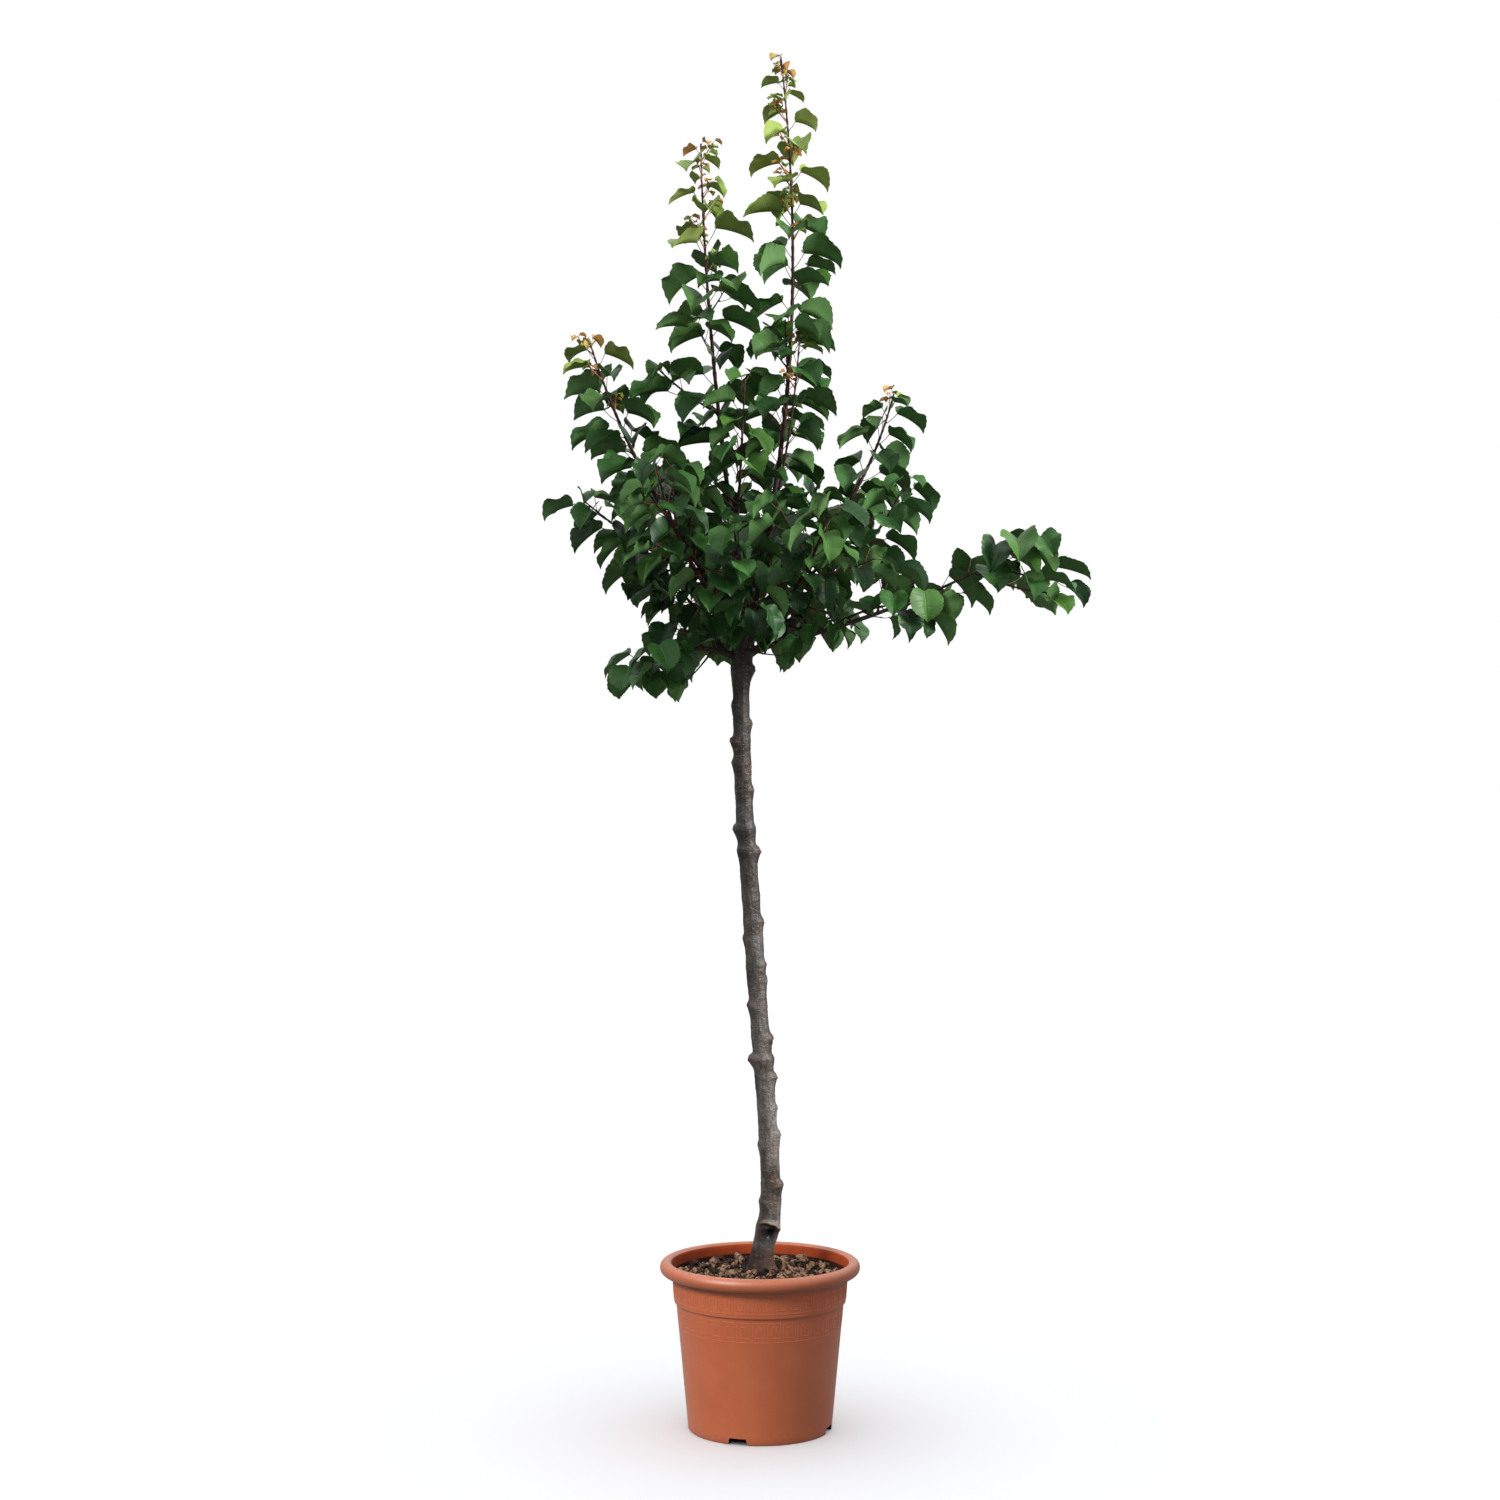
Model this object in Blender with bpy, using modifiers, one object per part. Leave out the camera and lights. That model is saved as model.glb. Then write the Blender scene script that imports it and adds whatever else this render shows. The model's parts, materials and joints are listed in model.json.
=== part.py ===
"""Potted apricot tree: a clear stem with a loose, upright crown in a round nursery pot.

Metres, +Z up. The origin is the middle of the pot's flat underside, and the front faces -Y.
Every shoot is one curve: its lower stretch is a bare bough, the rest the stem of a mass of leaves.
"""

import math
import random
from collections import namedtuple

import bmesh
import bpy
from mathutils import Matrix, Vector
from mathutils.bvhtree import BVHTree

# Clearance between neighbouring pieces
GAP = 0.0003
WELD = 1e-5

# Pot: tapered body, collar band and rolled lip
POT_HEIGHT = 0.333
POT_SIDES = 32
WALL = 0.003
FLOOR = 0.004
FOOT_RADIUS = 0.1435
FOOT_CHAMFER = 0.0015
BODY_TOP_RADIUS = 0.1672
COLLAR_Z = 0.252
COLLAR_STEP = 0.0025
COLLAR_RADIUS = 0.1715
COLLAR_TOP_RADIUS = 0.1750
LIP_RADIUS = 0.200
LIP_HALF_WIDTH = 0.013
LIP_HALF_HEIGHT = 0.0135
LIP_UNDERSIDE_Z = 0.309
LIP_ARC = (160, -50)
LIP_STEPS = 6

# Drain notches in the foot of the pot
NOTCH_COUNT = 4
NOTCH_FIRST_BEARING = -108
NOTCH_BOTTOM_WIDTH = 0.036
NOTCH_TOP_WIDTH = 0.030
NOTCH_HEIGHT = 0.010
NOTCH_INNER_RADIUS = 0.128
NOTCH_OUTER_RADIUS = 0.160

# Soil
SOIL_Z = 0.312
SOIL_FLAT_RADIUS = 0.060
SOIL_FALL = 0.002
SOIL_EDGE_Z = 0.305
SOIL_EDGE_WIDTH = 0.012

# Trunk: height, offset to the right, offset to the back, radius
TRUNK_SIDES = 10
TRUNK_STATIONS = [
    (SOIL_Z + GAP, 0.003, 0.000, 0.0330),
    (0.322, 0.002, 0.000, 0.0285),
    (0.335, 0.003, 0.000, 0.0250),
    (0.355, 0.006, 0.001, 0.0228),
    (0.384, 0.0135, 0.001, 0.0238),
    (0.402, 0.016, 0.000, 0.0240),
    (0.425, 0.020, -0.001, 0.0215),
    (0.452, 0.022, -0.002, 0.0203),
    (0.550, 0.0185, -0.003, 0.0192),
    (0.652, 0.012, -0.002, 0.0188),
    (0.852, -0.004, 0.002, 0.0185),
    (1.052, -0.018, 0.004, 0.0182),
    (1.252, -0.032, 0.002, 0.0175),
    (1.452, -0.038, -0.002, 0.0165),
    (1.532, -0.036, -0.002, 0.0170),
    (1.600, -0.030, 0.000, 0.0185),
    (1.650, -0.024, 0.000, 0.0180),
    (1.676, -0.020, 0.000, 0.0135),
]
# Knots, where side shoots were pruned: height, bearing (0 right, 180 left, 270 front), swell
KNOTS = [
    (0.402, 290, 0.0045),
    (0.452, 180, 0.0030),
    (0.486, 350, 0.0045),
    (0.564, 190, 0.0030),
    (0.586, 0, 0.0045),
    (0.638, 10, 0.0030),
    (0.700, 0, 0.0055),
    (0.736, 180, 0.0095),
    (0.778, 350, 0.0045),
    (0.843, 200, 0.0040),
    (0.894, 10, 0.0030),
    (0.924, 340, 0.0030),
    (0.976, 180, 0.0030),
    (1.010, 0, 0.0040),
    (1.060, 90, 0.0040),
    (1.152, 355, 0.0075),
    (1.196, 185, 0.0065),
    (1.274, 0, 0.0035),
    (1.328, 180, 0.0040),
    (1.372, 200, 0.0060),
    (1.398, 10, 0.0035),
    (1.444, 180, 0.0030),
    (1.542, 0, 0.0050),
]
KNOT_HALF_HEIGHT = 0.011
KNOT_SHARPNESS = 3
KNOT_ALL_ROUND = 0.15
# Rings of the trunk: one more where two would lie farther apart, none closer than the second
RING_SPACING = 0.033
RING_CLOSEST = 0.0055

# Shoots: each leaves its parent (the trunk at a height, a bough at a fraction of its length),
# bends towards its elbow and ends at its tip. The bare fraction of its length is its bough.
# Hang is 0 for arched leaves and 1 for drooping ones. Tip size is that of the last leaves.
Shoot = namedtuple(
    "Shoot", "name parent leave elbow tip bare radius leaves sprays hang tip_size"
)
SHOOTS = [
    Shoot("leader_right", "trunk", 1.655, (0.110, 0.02, 2.150), (0.042, 0.03, 2.748),
          bare=0.18, radius=0.0085, leaves=44, sprays=1, hang=0.1, tip_size=0.28),
    Shoot("leader_left", "trunk", 1.650, (-0.110, -0.01, 2.147), (-0.118, -0.02, 2.560),
          bare=0.20, radius=0.0080, leaves=34, sprays=1, hang=0.1, tip_size=0.3),
    Shoot("left_upper", "trunk", 1.612, (-0.245, -0.03, 1.860), (-0.336, -0.06, 2.156),
          bare=0.34, radius=0.0080, leaves=22, sprays=0, hang=0.1, tip_size=0.35),
    Shoot("left_outer", "left_upper", 0.16, (-0.220, -0.07, 1.735), (-0.345, -0.10, 1.840),
          bare=0.35, radius=0.0055, leaves=12, sprays=0, hang=0.3, tip_size=0.6),
    Shoot("left_low", "trunk", 1.535, (-0.140, -0.03, 1.585), (-0.250, -0.05, 1.500),
          bare=0.36, radius=0.0070, leaves=18, sprays=1, hang=0.8, tip_size=0.85),
    Shoot("left_mid", "left_low", 0.15, (-0.140, 0.04, 1.680), (-0.240, 0.03, 1.725),
          bare=0.28, radius=0.0055, leaves=17, sprays=1, hang=0.7, tip_size=0.85),
    Shoot("red_shoot", "leader_right", 0.10, (0.062, -0.07, 1.940), (0.078, -0.05, 2.162),
          bare=0.30, radius=0.0045, leaves=12, sprays=0, hang=0.2, tip_size=0.4),
    Shoot("right_upper", "trunk", 1.625, (0.200, 0.03, 1.800), (0.270, 0.04, 2.070),
          bare=0.42, radius=0.0070, leaves=18, sprays=0, hang=0.2, tip_size=0.4),
    Shoot("right_mid", "trunk", 1.590, (0.190, -0.03, 1.670), (0.290, -0.04, 1.885),
          bare=0.45, radius=0.0065, leaves=16, sprays=0, hang=0.3, tip_size=0.55),
    Shoot("right_long", "trunk", 1.550, (0.300, -0.05, 1.622), (0.538, -0.05, 1.766),
          bare=0.70, radius=0.0085, leaves=20, sprays=2, hang=0.45, tip_size=0.75),
    Shoot("right_hanging", "right_long", 0.26, (0.220, -0.10, 1.650), (0.335, -0.11, 1.635),
          bare=0.25, radius=0.0045, leaves=9, sprays=0, hang=0.9, tip_size=0.9),
    Shoot("right_low", "right_long", 0.12, (0.060, -0.10, 1.640), (0.115, -0.13, 1.680),
          bare=0.30, radius=0.0050, leaves=11, sprays=0, hang=1.0, tip_size=0.9),
    Shoot("front_left", "trunk", 1.600, (-0.160, -0.14, 1.700), (-0.200, -0.22, 1.900),
          bare=0.36, radius=0.0075, leaves=24, sprays=2, hang=0.4, tip_size=0.75),
    Shoot("front_right", "trunk", 1.570, (0.090, -0.15, 1.650), (0.130, -0.24, 1.810),
          bare=0.36, radius=0.0070, leaves=22, sprays=2, hang=0.5, tip_size=0.8),
    Shoot("front_centre", "trunk", 1.625, (-0.040, -0.12, 1.690), (-0.050, -0.22, 1.770),
          bare=0.32, radius=0.0060, leaves=14, sprays=1, hang=0.7, tip_size=0.9),
    Shoot("front_low", "trunk", 1.540, (-0.020, -0.12, 1.615), (-0.010, -0.22, 1.635),
          bare=0.34, radius=0.0060, leaves=12, sprays=0, hang=0.9, tip_size=0.9),
    Shoot("centre_up", "leader_left", 0.11, (-0.040, -0.10, 1.860), (-0.030, -0.08, 2.080),
          bare=0.35, radius=0.0050, leaves=14, sprays=0, hang=0.3, tip_size=0.7),
    Shoot("back_left", "trunk", 1.630, (-0.150, 0.14, 1.740), (-0.200, 0.25, 1.930),
          bare=0.36, radius=0.0075, leaves=22, sprays=1, hang=0.4, tip_size=0.75),
    Shoot("back_mid", "trunk", 1.595, (0.000, 0.18, 1.700), (0.030, 0.30, 1.950),
          bare=0.36, radius=0.0075, leaves=22, sprays=1, hang=0.4, tip_size=0.75),
    Shoot("back_right", "trunk", 1.600, (0.130, 0.12, 1.700), (0.200, 0.22, 1.860),
          bare=0.36, radius=0.0070, leaves=18, sprays=1, hang=0.5, tip_size=0.75),
    Shoot("back_low", "trunk", 1.540, (-0.060, 0.15, 1.630), (-0.080, 0.27, 1.650),
          bare=0.36, radius=0.0060, leaves=14, sprays=1, hang=0.9, tip_size=0.9),
    Shoot("back_low_right", "trunk", 1.535, (0.080, 0.11, 1.610), (0.160, 0.20, 1.630),
          bare=0.36, radius=0.0055, leaves=12, sprays=0, hang=0.9, tip_size=0.9),
]
BOUGH_SIDES = 6
BOUGH_STEPS = 4
BOUGH_TAPER = 0.60
STEM_STEP = 0.09
STEM_LEAST_STEPS = 3
STEM_BARE = 0.04
STEM_SIDES = 3
STEM_TAPER = 0.85
STEM_TIP_RADIUS = 0.0018
# How far from a tube's end point, in radii, its last ring is looked for
END_REACH = 1.2

# Sprays: short side twigs on a mass's stem
SPRAY_LEAVES = 5
SPRAY_LENGTH = 0.130
SPRAY_RADIUS = 0.0024
SPRAY_STEPS = 3
SPRAY_ANGLE = 55
SPRAY_LIFT = 0.35
SPRAY_BARE = 0.30
SPRAY_STRAY = 0.3
SPRAY_VARIES = 0.2

# Leaves: one golden angle from each to the next round the stem. The width and the turns of the
# outline are shares of the length, and angles are in degrees.
GOLDEN_ANGLE = 137.508
LEAF_LENGTH = 0.084
LEAF_WIDTH = 1.04
LEAF_THICKNESS = 0.0012
PETIOLE_LENGTH = 0.039
PETIOLE_RADIUS = 0.0012
ROOT_RADIUS = 0.0006
PETIOLE_RISE = 48
PETIOLE_LIFT = 0.25
LEAF_CROWDING = 0.88
LEAF_OFFSET = 0.8
LAST_LEAF = 0.99
YOUNG_FROM = 0.55
YOUNG_POWER = 1.5
# Below this share of a stem, some of the young leaves have grown on ahead of the rest
AHEAD_LIMIT = 0.93
AHEAD_SHARE = 0.30
AHEAD_GAIN = 0.65
FIRST_PITCH = 8
HANG_PITCH = 50
LEAF_BEND = 48
LEAF_FOLD = 50
HANG_UNFOLD = 24
SHARPEST_TURN = -0.25
UPRIGHT_LIMIT = 0.05
# Spread of a leaf's size, petiole and angles, and the freedom that each further try adds
SIZE_RANGE = (0.88, 1.08)
PETIOLE_RANGE = (0.85, 1.15)
RISE_SPREAD = 8
PITCH_SPREAD = 14
BEND_SPREAD = 16
FOLD_SPREAD = 12
ROLL_SPREAD = 22
BEARING_SPREAD = 12
BEARING_PER_TRY = 10
SHRINK_PER_TRY = 0.03
TRIES = 10
CLEARANCE = 0.0010
# Where the blade's outline turns: fraction of its length, fraction of its half width
SHOULDER = (0.05, 0.80)
FLANK = (0.60, 0.96)
MIDDLE = 0.5
# Corners of one leaf: three round the petiole's root, three at the blade's foot, then the
# blade's left shoulder and side, right shoulder and side, midrib above and below, and tip
PETIOLE_FACES = [(0, 2, 1), (0, 1, 4, 3), (1, 2, 5, 4), (2, 0, 3, 5)]
BLADE_FACES = [
    (3, 4, 10), (3, 10, 6), (6, 10, 7), (7, 10, 12), (12, 10, 9), (9, 10, 8), (8, 10, 4),
    (3, 6, 5), (5, 6, 11), (6, 7, 11), (7, 12, 11), (12, 9, 11), (9, 8, 11), (8, 5, 11), (5, 8, 4),
]
LEAF_FACES = PETIOLE_FACES + BLADE_FACES

# Round pieces are shaded smooth, with a crease where their faces meet more sharply than this
SMOOTH_ANGLE = 40

# Finishes: colour, roughness
TERRACOTTA = ((0.50, 0.15, 0.07), 0.55)
COMPOST = ((0.030, 0.022, 0.017), 0.95)
TRUNK_BARK = ((0.13, 0.105, 0.09), 0.80)
BOUGH_BARK = ((0.10, 0.07, 0.055), 0.75)
FOLIAGE = ((0.05, 0.13, 0.035), 0.50)


def polar(degrees):
    return Vector((math.cos(math.radians(degrees)), math.sin(math.radians(degrees)), 0))


def material(name, finish):
    colour, roughness = finish
    made = bpy.data.materials.get(name) or bpy.data.materials.new(name)
    made.use_nodes = True
    shader = made.node_tree.nodes["Principled BSDF"]
    shader.inputs["Base Color"].default_value = (*colour, 1)
    shader.inputs["Roughness"].default_value = roughness
    return made


def mesh_object(name, verts, faces, finish, collection):
    mesh = bpy.data.meshes.new(name)
    mesh.from_pydata([tuple(v) for v in verts], [], faces)
    mesh.materials.append(finish)
    obj = bpy.data.objects.new(name, mesh)
    collection.objects.link(obj)
    return obj


def evaluated_mesh(obj):
    bpy.context.view_layer.update()
    return bpy.data.meshes.new_from_object(obj.evaluated_get(bpy.context.evaluated_depsgraph_get()))


def remove(obj):
    bpy.data.objects.remove(obj, do_unlink=True)


def weld(mesh):
    """Joins a tube's caps to its sides, with every face outwards."""
    work = bmesh.new()
    work.from_mesh(mesh)
    bmesh.ops.remove_doubles(work, verts=work.verts, dist=WELD)
    bmesh.ops.recalc_face_normals(work, faces=work.faces)
    work.to_mesh(mesh)
    work.free()


def drop_scraps(mesh):
    """Keeps only the largest loose piece of a mesh."""
    work = bmesh.new()
    work.from_mesh(mesh)
    pieces = []
    left = set(work.verts)
    while left:
        piece = set()
        front = [left.pop()]
        while front:
            vert = front.pop()
            piece.add(vert)
            near = {edge.other_vert(vert) for edge in vert.link_edges} & left
            left -= near
            front.extend(near)
        pieces.append(piece)
    pieces.sort(key=len)
    scraps = [vert for piece in pieces[:-1] for vert in piece]
    bmesh.ops.delete(work, geom=scraps, context="VERTS")
    work.to_mesh(mesh)
    work.free()


def apply_modifiers(obj):
    mesh = evaluated_mesh(obj)
    obj.modifiers.clear()
    obj.data = mesh
    drop_scraps(mesh)


def smooth(obj):
    obj.data.shade_smooth()
    obj.data.set_sharp_from_angle(angle=math.radians(SMOOTH_ANGLE))


def bvh(obj):
    mesh = obj.data
    verts = [obj.matrix_world @ v.co for v in mesh.vertices]
    return BVHTree.FromPolygons(verts, [tuple(p.vertices) for p in mesh.polygons])


def turned(name, profile, finish, collection):
    """Turns a profile of (radius, height) points, which runs down its outer side, about Z."""
    edges = [(i, i + 1) for i in range(len(profile) - 1)]
    mesh = bpy.data.meshes.new(name)
    mesh.from_pydata([(r, 0, z) for r, z in profile], edges, [])
    mesh.materials.append(finish)
    obj = bpy.data.objects.new(name, mesh)
    collection.objects.link(obj)
    screw = obj.modifiers.new("turn", "SCREW")
    screw.steps = screw.render_steps = POT_SIDES
    screw.use_merge_vertices = True
    screw.merge_threshold = WELD
    apply_modifiers(obj)
    smooth(obj)
    return obj


def tube(name, points, radii, sides, finish, collection):
    """A closed mesh round the points, with this many sides and its own radius at each point."""
    ring = bpy.data.curves.new(name + "_ring", "CURVE")
    ring.dimensions = "2D"
    outline = ring.splines.new("POLY")
    outline.points.add(sides - 1)
    outline.use_cyclic_u = True
    for i, point in enumerate(outline.points):
        point.co = (*polar(i * 360 / sides), 1)
    ring_object = bpy.data.objects.new(name + "_ring", ring)
    collection.objects.link(ring_object)

    curve = bpy.data.curves.new(name, "CURVE")
    curve.dimensions = "3D"
    curve.bevel_mode = "OBJECT"
    curve.bevel_object = ring_object
    curve.use_fill_caps = True
    spline = curve.splines.new("POLY")
    spline.points.add(len(points) - 1)
    for point, place, radius in zip(spline.points, points, radii):
        point.co = (*place, 1)
        point.radius = radius
    curve_object = bpy.data.objects.new(name, curve)
    collection.objects.link(curve_object)
    mesh = evaluated_mesh(curve_object)
    remove(curve_object)
    remove(ring_object)
    weld(mesh)
    mesh.materials.clear()
    mesh.materials.append(finish)
    obj = bpy.data.objects.new(name, mesh)
    collection.objects.link(obj)
    return obj


def lip_profile():
    start, end = LIP_ARC
    for i in range(LIP_STEPS + 1):
        angle = math.radians(start + (end - start) * i / LIP_STEPS)
        radius = LIP_RADIUS - LIP_HALF_WIDTH + LIP_HALF_WIDTH * math.cos(angle)
        yield radius, POT_HEIGHT - LIP_HALF_HEIGHT + LIP_HALF_HEIGHT * math.sin(angle)


def pot_profile():
    inside = [
        (0, FLOOR),
        (FOOT_RADIUS - WALL - FOOT_CHAMFER, FLOOR),
        (BODY_TOP_RADIUS - WALL, COLLAR_Z - COLLAR_STEP),
        (COLLAR_RADIUS - WALL, COLLAR_Z + COLLAR_STEP),
        (COLLAR_TOP_RADIUS - WALL, LIP_UNDERSIDE_Z),
    ]
    outside = [
        (COLLAR_TOP_RADIUS, LIP_UNDERSIDE_Z),
        (COLLAR_RADIUS, COLLAR_Z),
        (BODY_TOP_RADIUS, COLLAR_Z - COLLAR_STEP),
        (FOOT_RADIUS, FOOT_CHAMFER),
        (FOOT_RADIUS - FOOT_CHAMFER, 0),
        (0, 0),
    ]
    return inside + list(lip_profile()) + outside


def make_notch(bearing, collection):
    """A cutter through the foot of the wall, narrower at its top."""
    depth = NOTCH_OUTER_RADIUS - NOTCH_INNER_RADIUS
    work = bmesh.new()
    bmesh.ops.create_cube(work, size=1)
    for vert in work.verts:
        top = vert.co.z > 0
        vert.co.x = vert.co.x * depth + NOTCH_INNER_RADIUS + depth / 2
        vert.co.y *= NOTCH_TOP_WIDTH if top else NOTCH_BOTTOM_WIDTH
        vert.co.z = NOTCH_HEIGHT if top else -NOTCH_HEIGHT
    mesh = bpy.data.meshes.new("notch")
    work.to_mesh(mesh)
    work.free()
    obj = bpy.data.objects.new("notch", mesh)
    obj.rotation_euler.z = math.radians(bearing)
    collection.objects.link(obj)
    return obj


def cut(obj, cutters):
    for cutter in cutters:
        modifier = obj.modifiers.new("cut", "BOOLEAN")
        modifier.operation = "DIFFERENCE"
        modifier.object = cutter
    apply_modifiers(obj)


def make_pot(collection, cutters):
    pot = turned("pot", pot_profile(), material("terracotta", TERRACOTTA), collection)
    bearings = [NOTCH_FIRST_BEARING + i * 360 / NOTCH_COUNT for i in range(NOTCH_COUNT)]
    notches = [make_notch(bearing, cutters) for bearing in bearings]
    cut(pot, notches)
    smooth(pot)
    for notch in notches:
        remove(notch)
    return pot


def collar_inside(height):
    """The radius of the collar's inner face at a height."""
    foot = COLLAR_Z + COLLAR_STEP
    share = (height - foot) / (LIP_UNDERSIDE_Z - foot)
    return COLLAR_RADIUS - WALL + (COLLAR_TOP_RADIUS - COLLAR_RADIUS) * share


def make_soil(collection):
    foot = FOOT_RADIUS - WALL - FOOT_CHAMFER - GAP
    edge = collar_inside(SOIL_EDGE_Z) - GAP
    profile = [
        (0, SOIL_Z),
        (SOIL_FLAT_RADIUS, SOIL_Z),
        (edge - SOIL_EDGE_WIDTH, SOIL_Z - SOIL_FALL),
        (edge, SOIL_EDGE_Z),
        (COLLAR_RADIUS - WALL - GAP, COLLAR_Z + COLLAR_STEP),
        (BODY_TOP_RADIUS - WALL - GAP, COLLAR_Z - COLLAR_STEP),
        (foot, FLOOR + GAP),
        (0, FLOOR + GAP),
    ]
    return turned("soil", profile, material("compost", COMPOST), collection)


def trunk_at(height):
    """The trunk's axis and radius at a height, smooth through its stations."""
    last = len(TRUNK_STATIONS) - 2
    i = max(k for k in range(last + 1) if k == 0 or TRUNK_STATIONS[k][0] <= height)
    low, high = TRUNK_STATIONS[i], TRUNK_STATIONS[i + 1]
    before, after = TRUNK_STATIONS[max(i - 1, 0)], TRUNK_STATIONS[min(i + 2, last + 1)]
    span = high[0] - low[0]
    share = (height - low[0]) / span

    def smooth(column):
        slope_low = (high[column] - before[column]) / (high[0] - before[0]) * span
        slope_high = (after[column] - low[column]) / (after[0] - low[0]) * span
        cube, square = share**3, share**2
        return (
            (2 * cube - 3 * square + 1) * low[column]
            + (cube - 2 * square + share) * slope_low
            + (3 * square - 2 * cube) * high[column]
            + (cube - square) * slope_high
        )

    return Vector((smooth(1), smooth(2), height)), smooth(3)


def knot_swell(place):
    """How far a point on the trunk stands out, because of the knots near it."""
    centre, _ = trunk_at(place.z)
    outward = Vector((place.x - centre.x, place.y - centre.y, 0)).normalized()
    swell = 0
    for height, bearing, size in KNOTS:
        near = math.exp(-(((place.z - height) / KNOT_HALF_HEIGHT) ** 2))
        facing = max(0, outward.dot(polar(bearing))) ** KNOT_SHARPNESS
        swell += size * near * (KNOT_ALL_ROUND + (1 - KNOT_ALL_ROUND) * facing)
    return outward * swell


def trunk_heights():
    """A ring at each station and knot, and one between any two that are far apart."""
    marks = sorted({station[0] for station in TRUNK_STATIONS} | {knot[0] for knot in KNOTS})
    heights = [marks[0]]
    for mark in marks[1:]:
        if mark - heights[-1] > RING_SPACING:
            heights.append((mark + heights[-1]) / 2)
        if mark - heights[-1] > RING_CLOSEST:
            heights.append(mark)
    return heights


def make_trunk(name, grow, collection):
    heights = trunk_heights()
    stations = [trunk_at(height) for height in heights]
    points = [place for place, _ in stations]
    points[-1] += Vector((0, 0, grow))
    radii = [radius + grow for _, radius in stations]
    trunk = tube(name, points, radii, TRUNK_SIDES, material("trunk_bark", TRUNK_BARK), collection)
    foot = heights[0]
    for vert in trunk.data.vertices:
        if vert.co.z < (heights[0] + heights[1]) / 2:
            vert.co.z = foot
        vert.co += knot_swell(vert.co)
    smooth(trunk)
    return trunk


def bend(curve, t):
    """The point at fraction t of a curve from its start to its tip, bent towards its elbow."""
    start, elbow, tip = curve
    return start * (1 - t) ** 2 + elbow * 2 * t * (1 - t) + tip * t**2


def heading(curve, t):
    start, elbow, tip = curve
    return ((elbow - start) * (1 - t) + (tip - elbow) * t).normalized()


def shoot_curve(shoot, curves):
    """A shoot's start, elbow and tip. It leaves the trunk on its own side of the axis."""
    elbow, tip = Vector(shoot.elbow), Vector(shoot.tip)
    if shoot.parent != "trunk":
        return bend(curves[shoot.parent], shoot.leave), elbow, tip
    axis, radius = trunk_at(shoot.leave)
    side = Vector((elbow.x - axis.x, elbow.y - axis.y, 0)).normalized()
    return axis + side * radius / 2, elbow, tip


def square_end(obj, place, along, radius):
    """Turns the ring of vertices at a tube's end square to its curve."""
    for vert in obj.data.vertices:
        if (vert.co - place).length < END_REACH * radius:
            vert.co += along * (place - vert.co).dot(along)


def curve_tube(name, curve, span, radii, steps, sides, finish, collection, grow=0):
    """A tube along a span of a curve, straight from one radius to the other, with square ends."""
    shares = [i / steps for i in range(steps + 1)]
    places = [bend(curve, span[0] + (span[1] - span[0]) * share) for share in shares]
    places[0] = places[0] - heading(curve, span[0]) * grow
    places[-1] = places[-1] + heading(curve, span[1]) * grow
    sizes = [radii[0] + (radii[1] - radii[0]) * share + grow for share in shares]
    made = tube(name, places, sizes, sides, finish, collection)
    square_end(made, places[0], heading(curve, span[0]), sizes[0])
    square_end(made, places[-1], heading(curve, span[1]), sizes[-1])
    return made


def make_bough(shoot, curve, grown, collection, cutters):
    """A tapering limb, cut clear of the grown copies of the limbs that it touches, and its own."""
    finish = material("bough_bark", BOUGH_BARK)
    span = (0, shoot.bare)
    radii = (shoot.radius, shoot.radius * BOUGH_TAPER)
    name = shoot.name + "_bough"
    bough = curve_tube(name, curve, span, radii, BOUGH_STEPS, BOUGH_SIDES, finish, collection)
    shape = bvh(bough)
    cut(bough, [limb for limb in grown if bvh(limb).overlap(shape)])
    smooth(bough)
    clear = curve_tube(
        name + "_clear", curve, span, radii, BOUGH_STEPS, BOUGH_SIDES, finish, cutters, grow=GAP
    )
    return bough, clear


Twig = namedtuple("Twig", "curve span radii steps leaves bare")


def stem_twig(shoot, curve):
    """The stem of a shoot's mass, from just past its bough's tip."""
    start, elbow, tip = curve
    rate = 2 * ((elbow - start) * (1 - shoot.bare) + (tip - elbow) * shoot.bare).length
    span = (shoot.bare + GAP / rate, 1)
    radii = (shoot.radius * BOUGH_TAPER * STEM_TAPER, STEM_TIP_RADIUS)
    leaves = shoot.leaves - shoot.sprays * SPRAY_LEAVES
    steps = max(STEM_LEAST_STEPS, round((tip - bend(curve, shoot.bare)).length / STEM_STEP))
    return Twig(curve, span, radii, steps, leaves, STEM_BARE)


def spray_twig(shoot, stem, number):
    """A side twig on the stem, which leaves it at a slant and bends upwards."""
    chance = random.Random(f"{shoot.name} spray {number}")
    share = (number + 1 + chance.uniform(-SPRAY_STRAY, SPRAY_STRAY)) / (shoot.sprays + 2)
    low, high = stem.span
    at = low + (high - low) * share
    along = heading(stem.curve, at)
    across = along.orthogonal().normalized()
    turn = Matrix.Rotation(math.radians(GOLDEN_ANGLE * number + chance.uniform(0, 360)), 3, along)
    angle = math.radians(SPRAY_ANGLE)
    away = along * math.cos(angle) + (turn @ across) * math.sin(angle)
    length = SPRAY_LENGTH * (1 + chance.uniform(-SPRAY_VARIES, SPRAY_VARIES))
    start = bend(stem.curve, at)
    elbow = start + away * length / 2
    tip = elbow + (away + Vector((0, 0, SPRAY_LIFT))).normalized() * length / 2
    curve = (start, elbow, tip)
    radii = (SPRAY_RADIUS, STEM_TIP_RADIUS)
    return Twig(curve, (0, 1), radii, SPRAY_STEPS, SPRAY_LEAVES, SPRAY_BARE)


Leaf = namedtuple("Leaf", "root petiole petiole_length heading pitch curl fold roll length")


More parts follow.
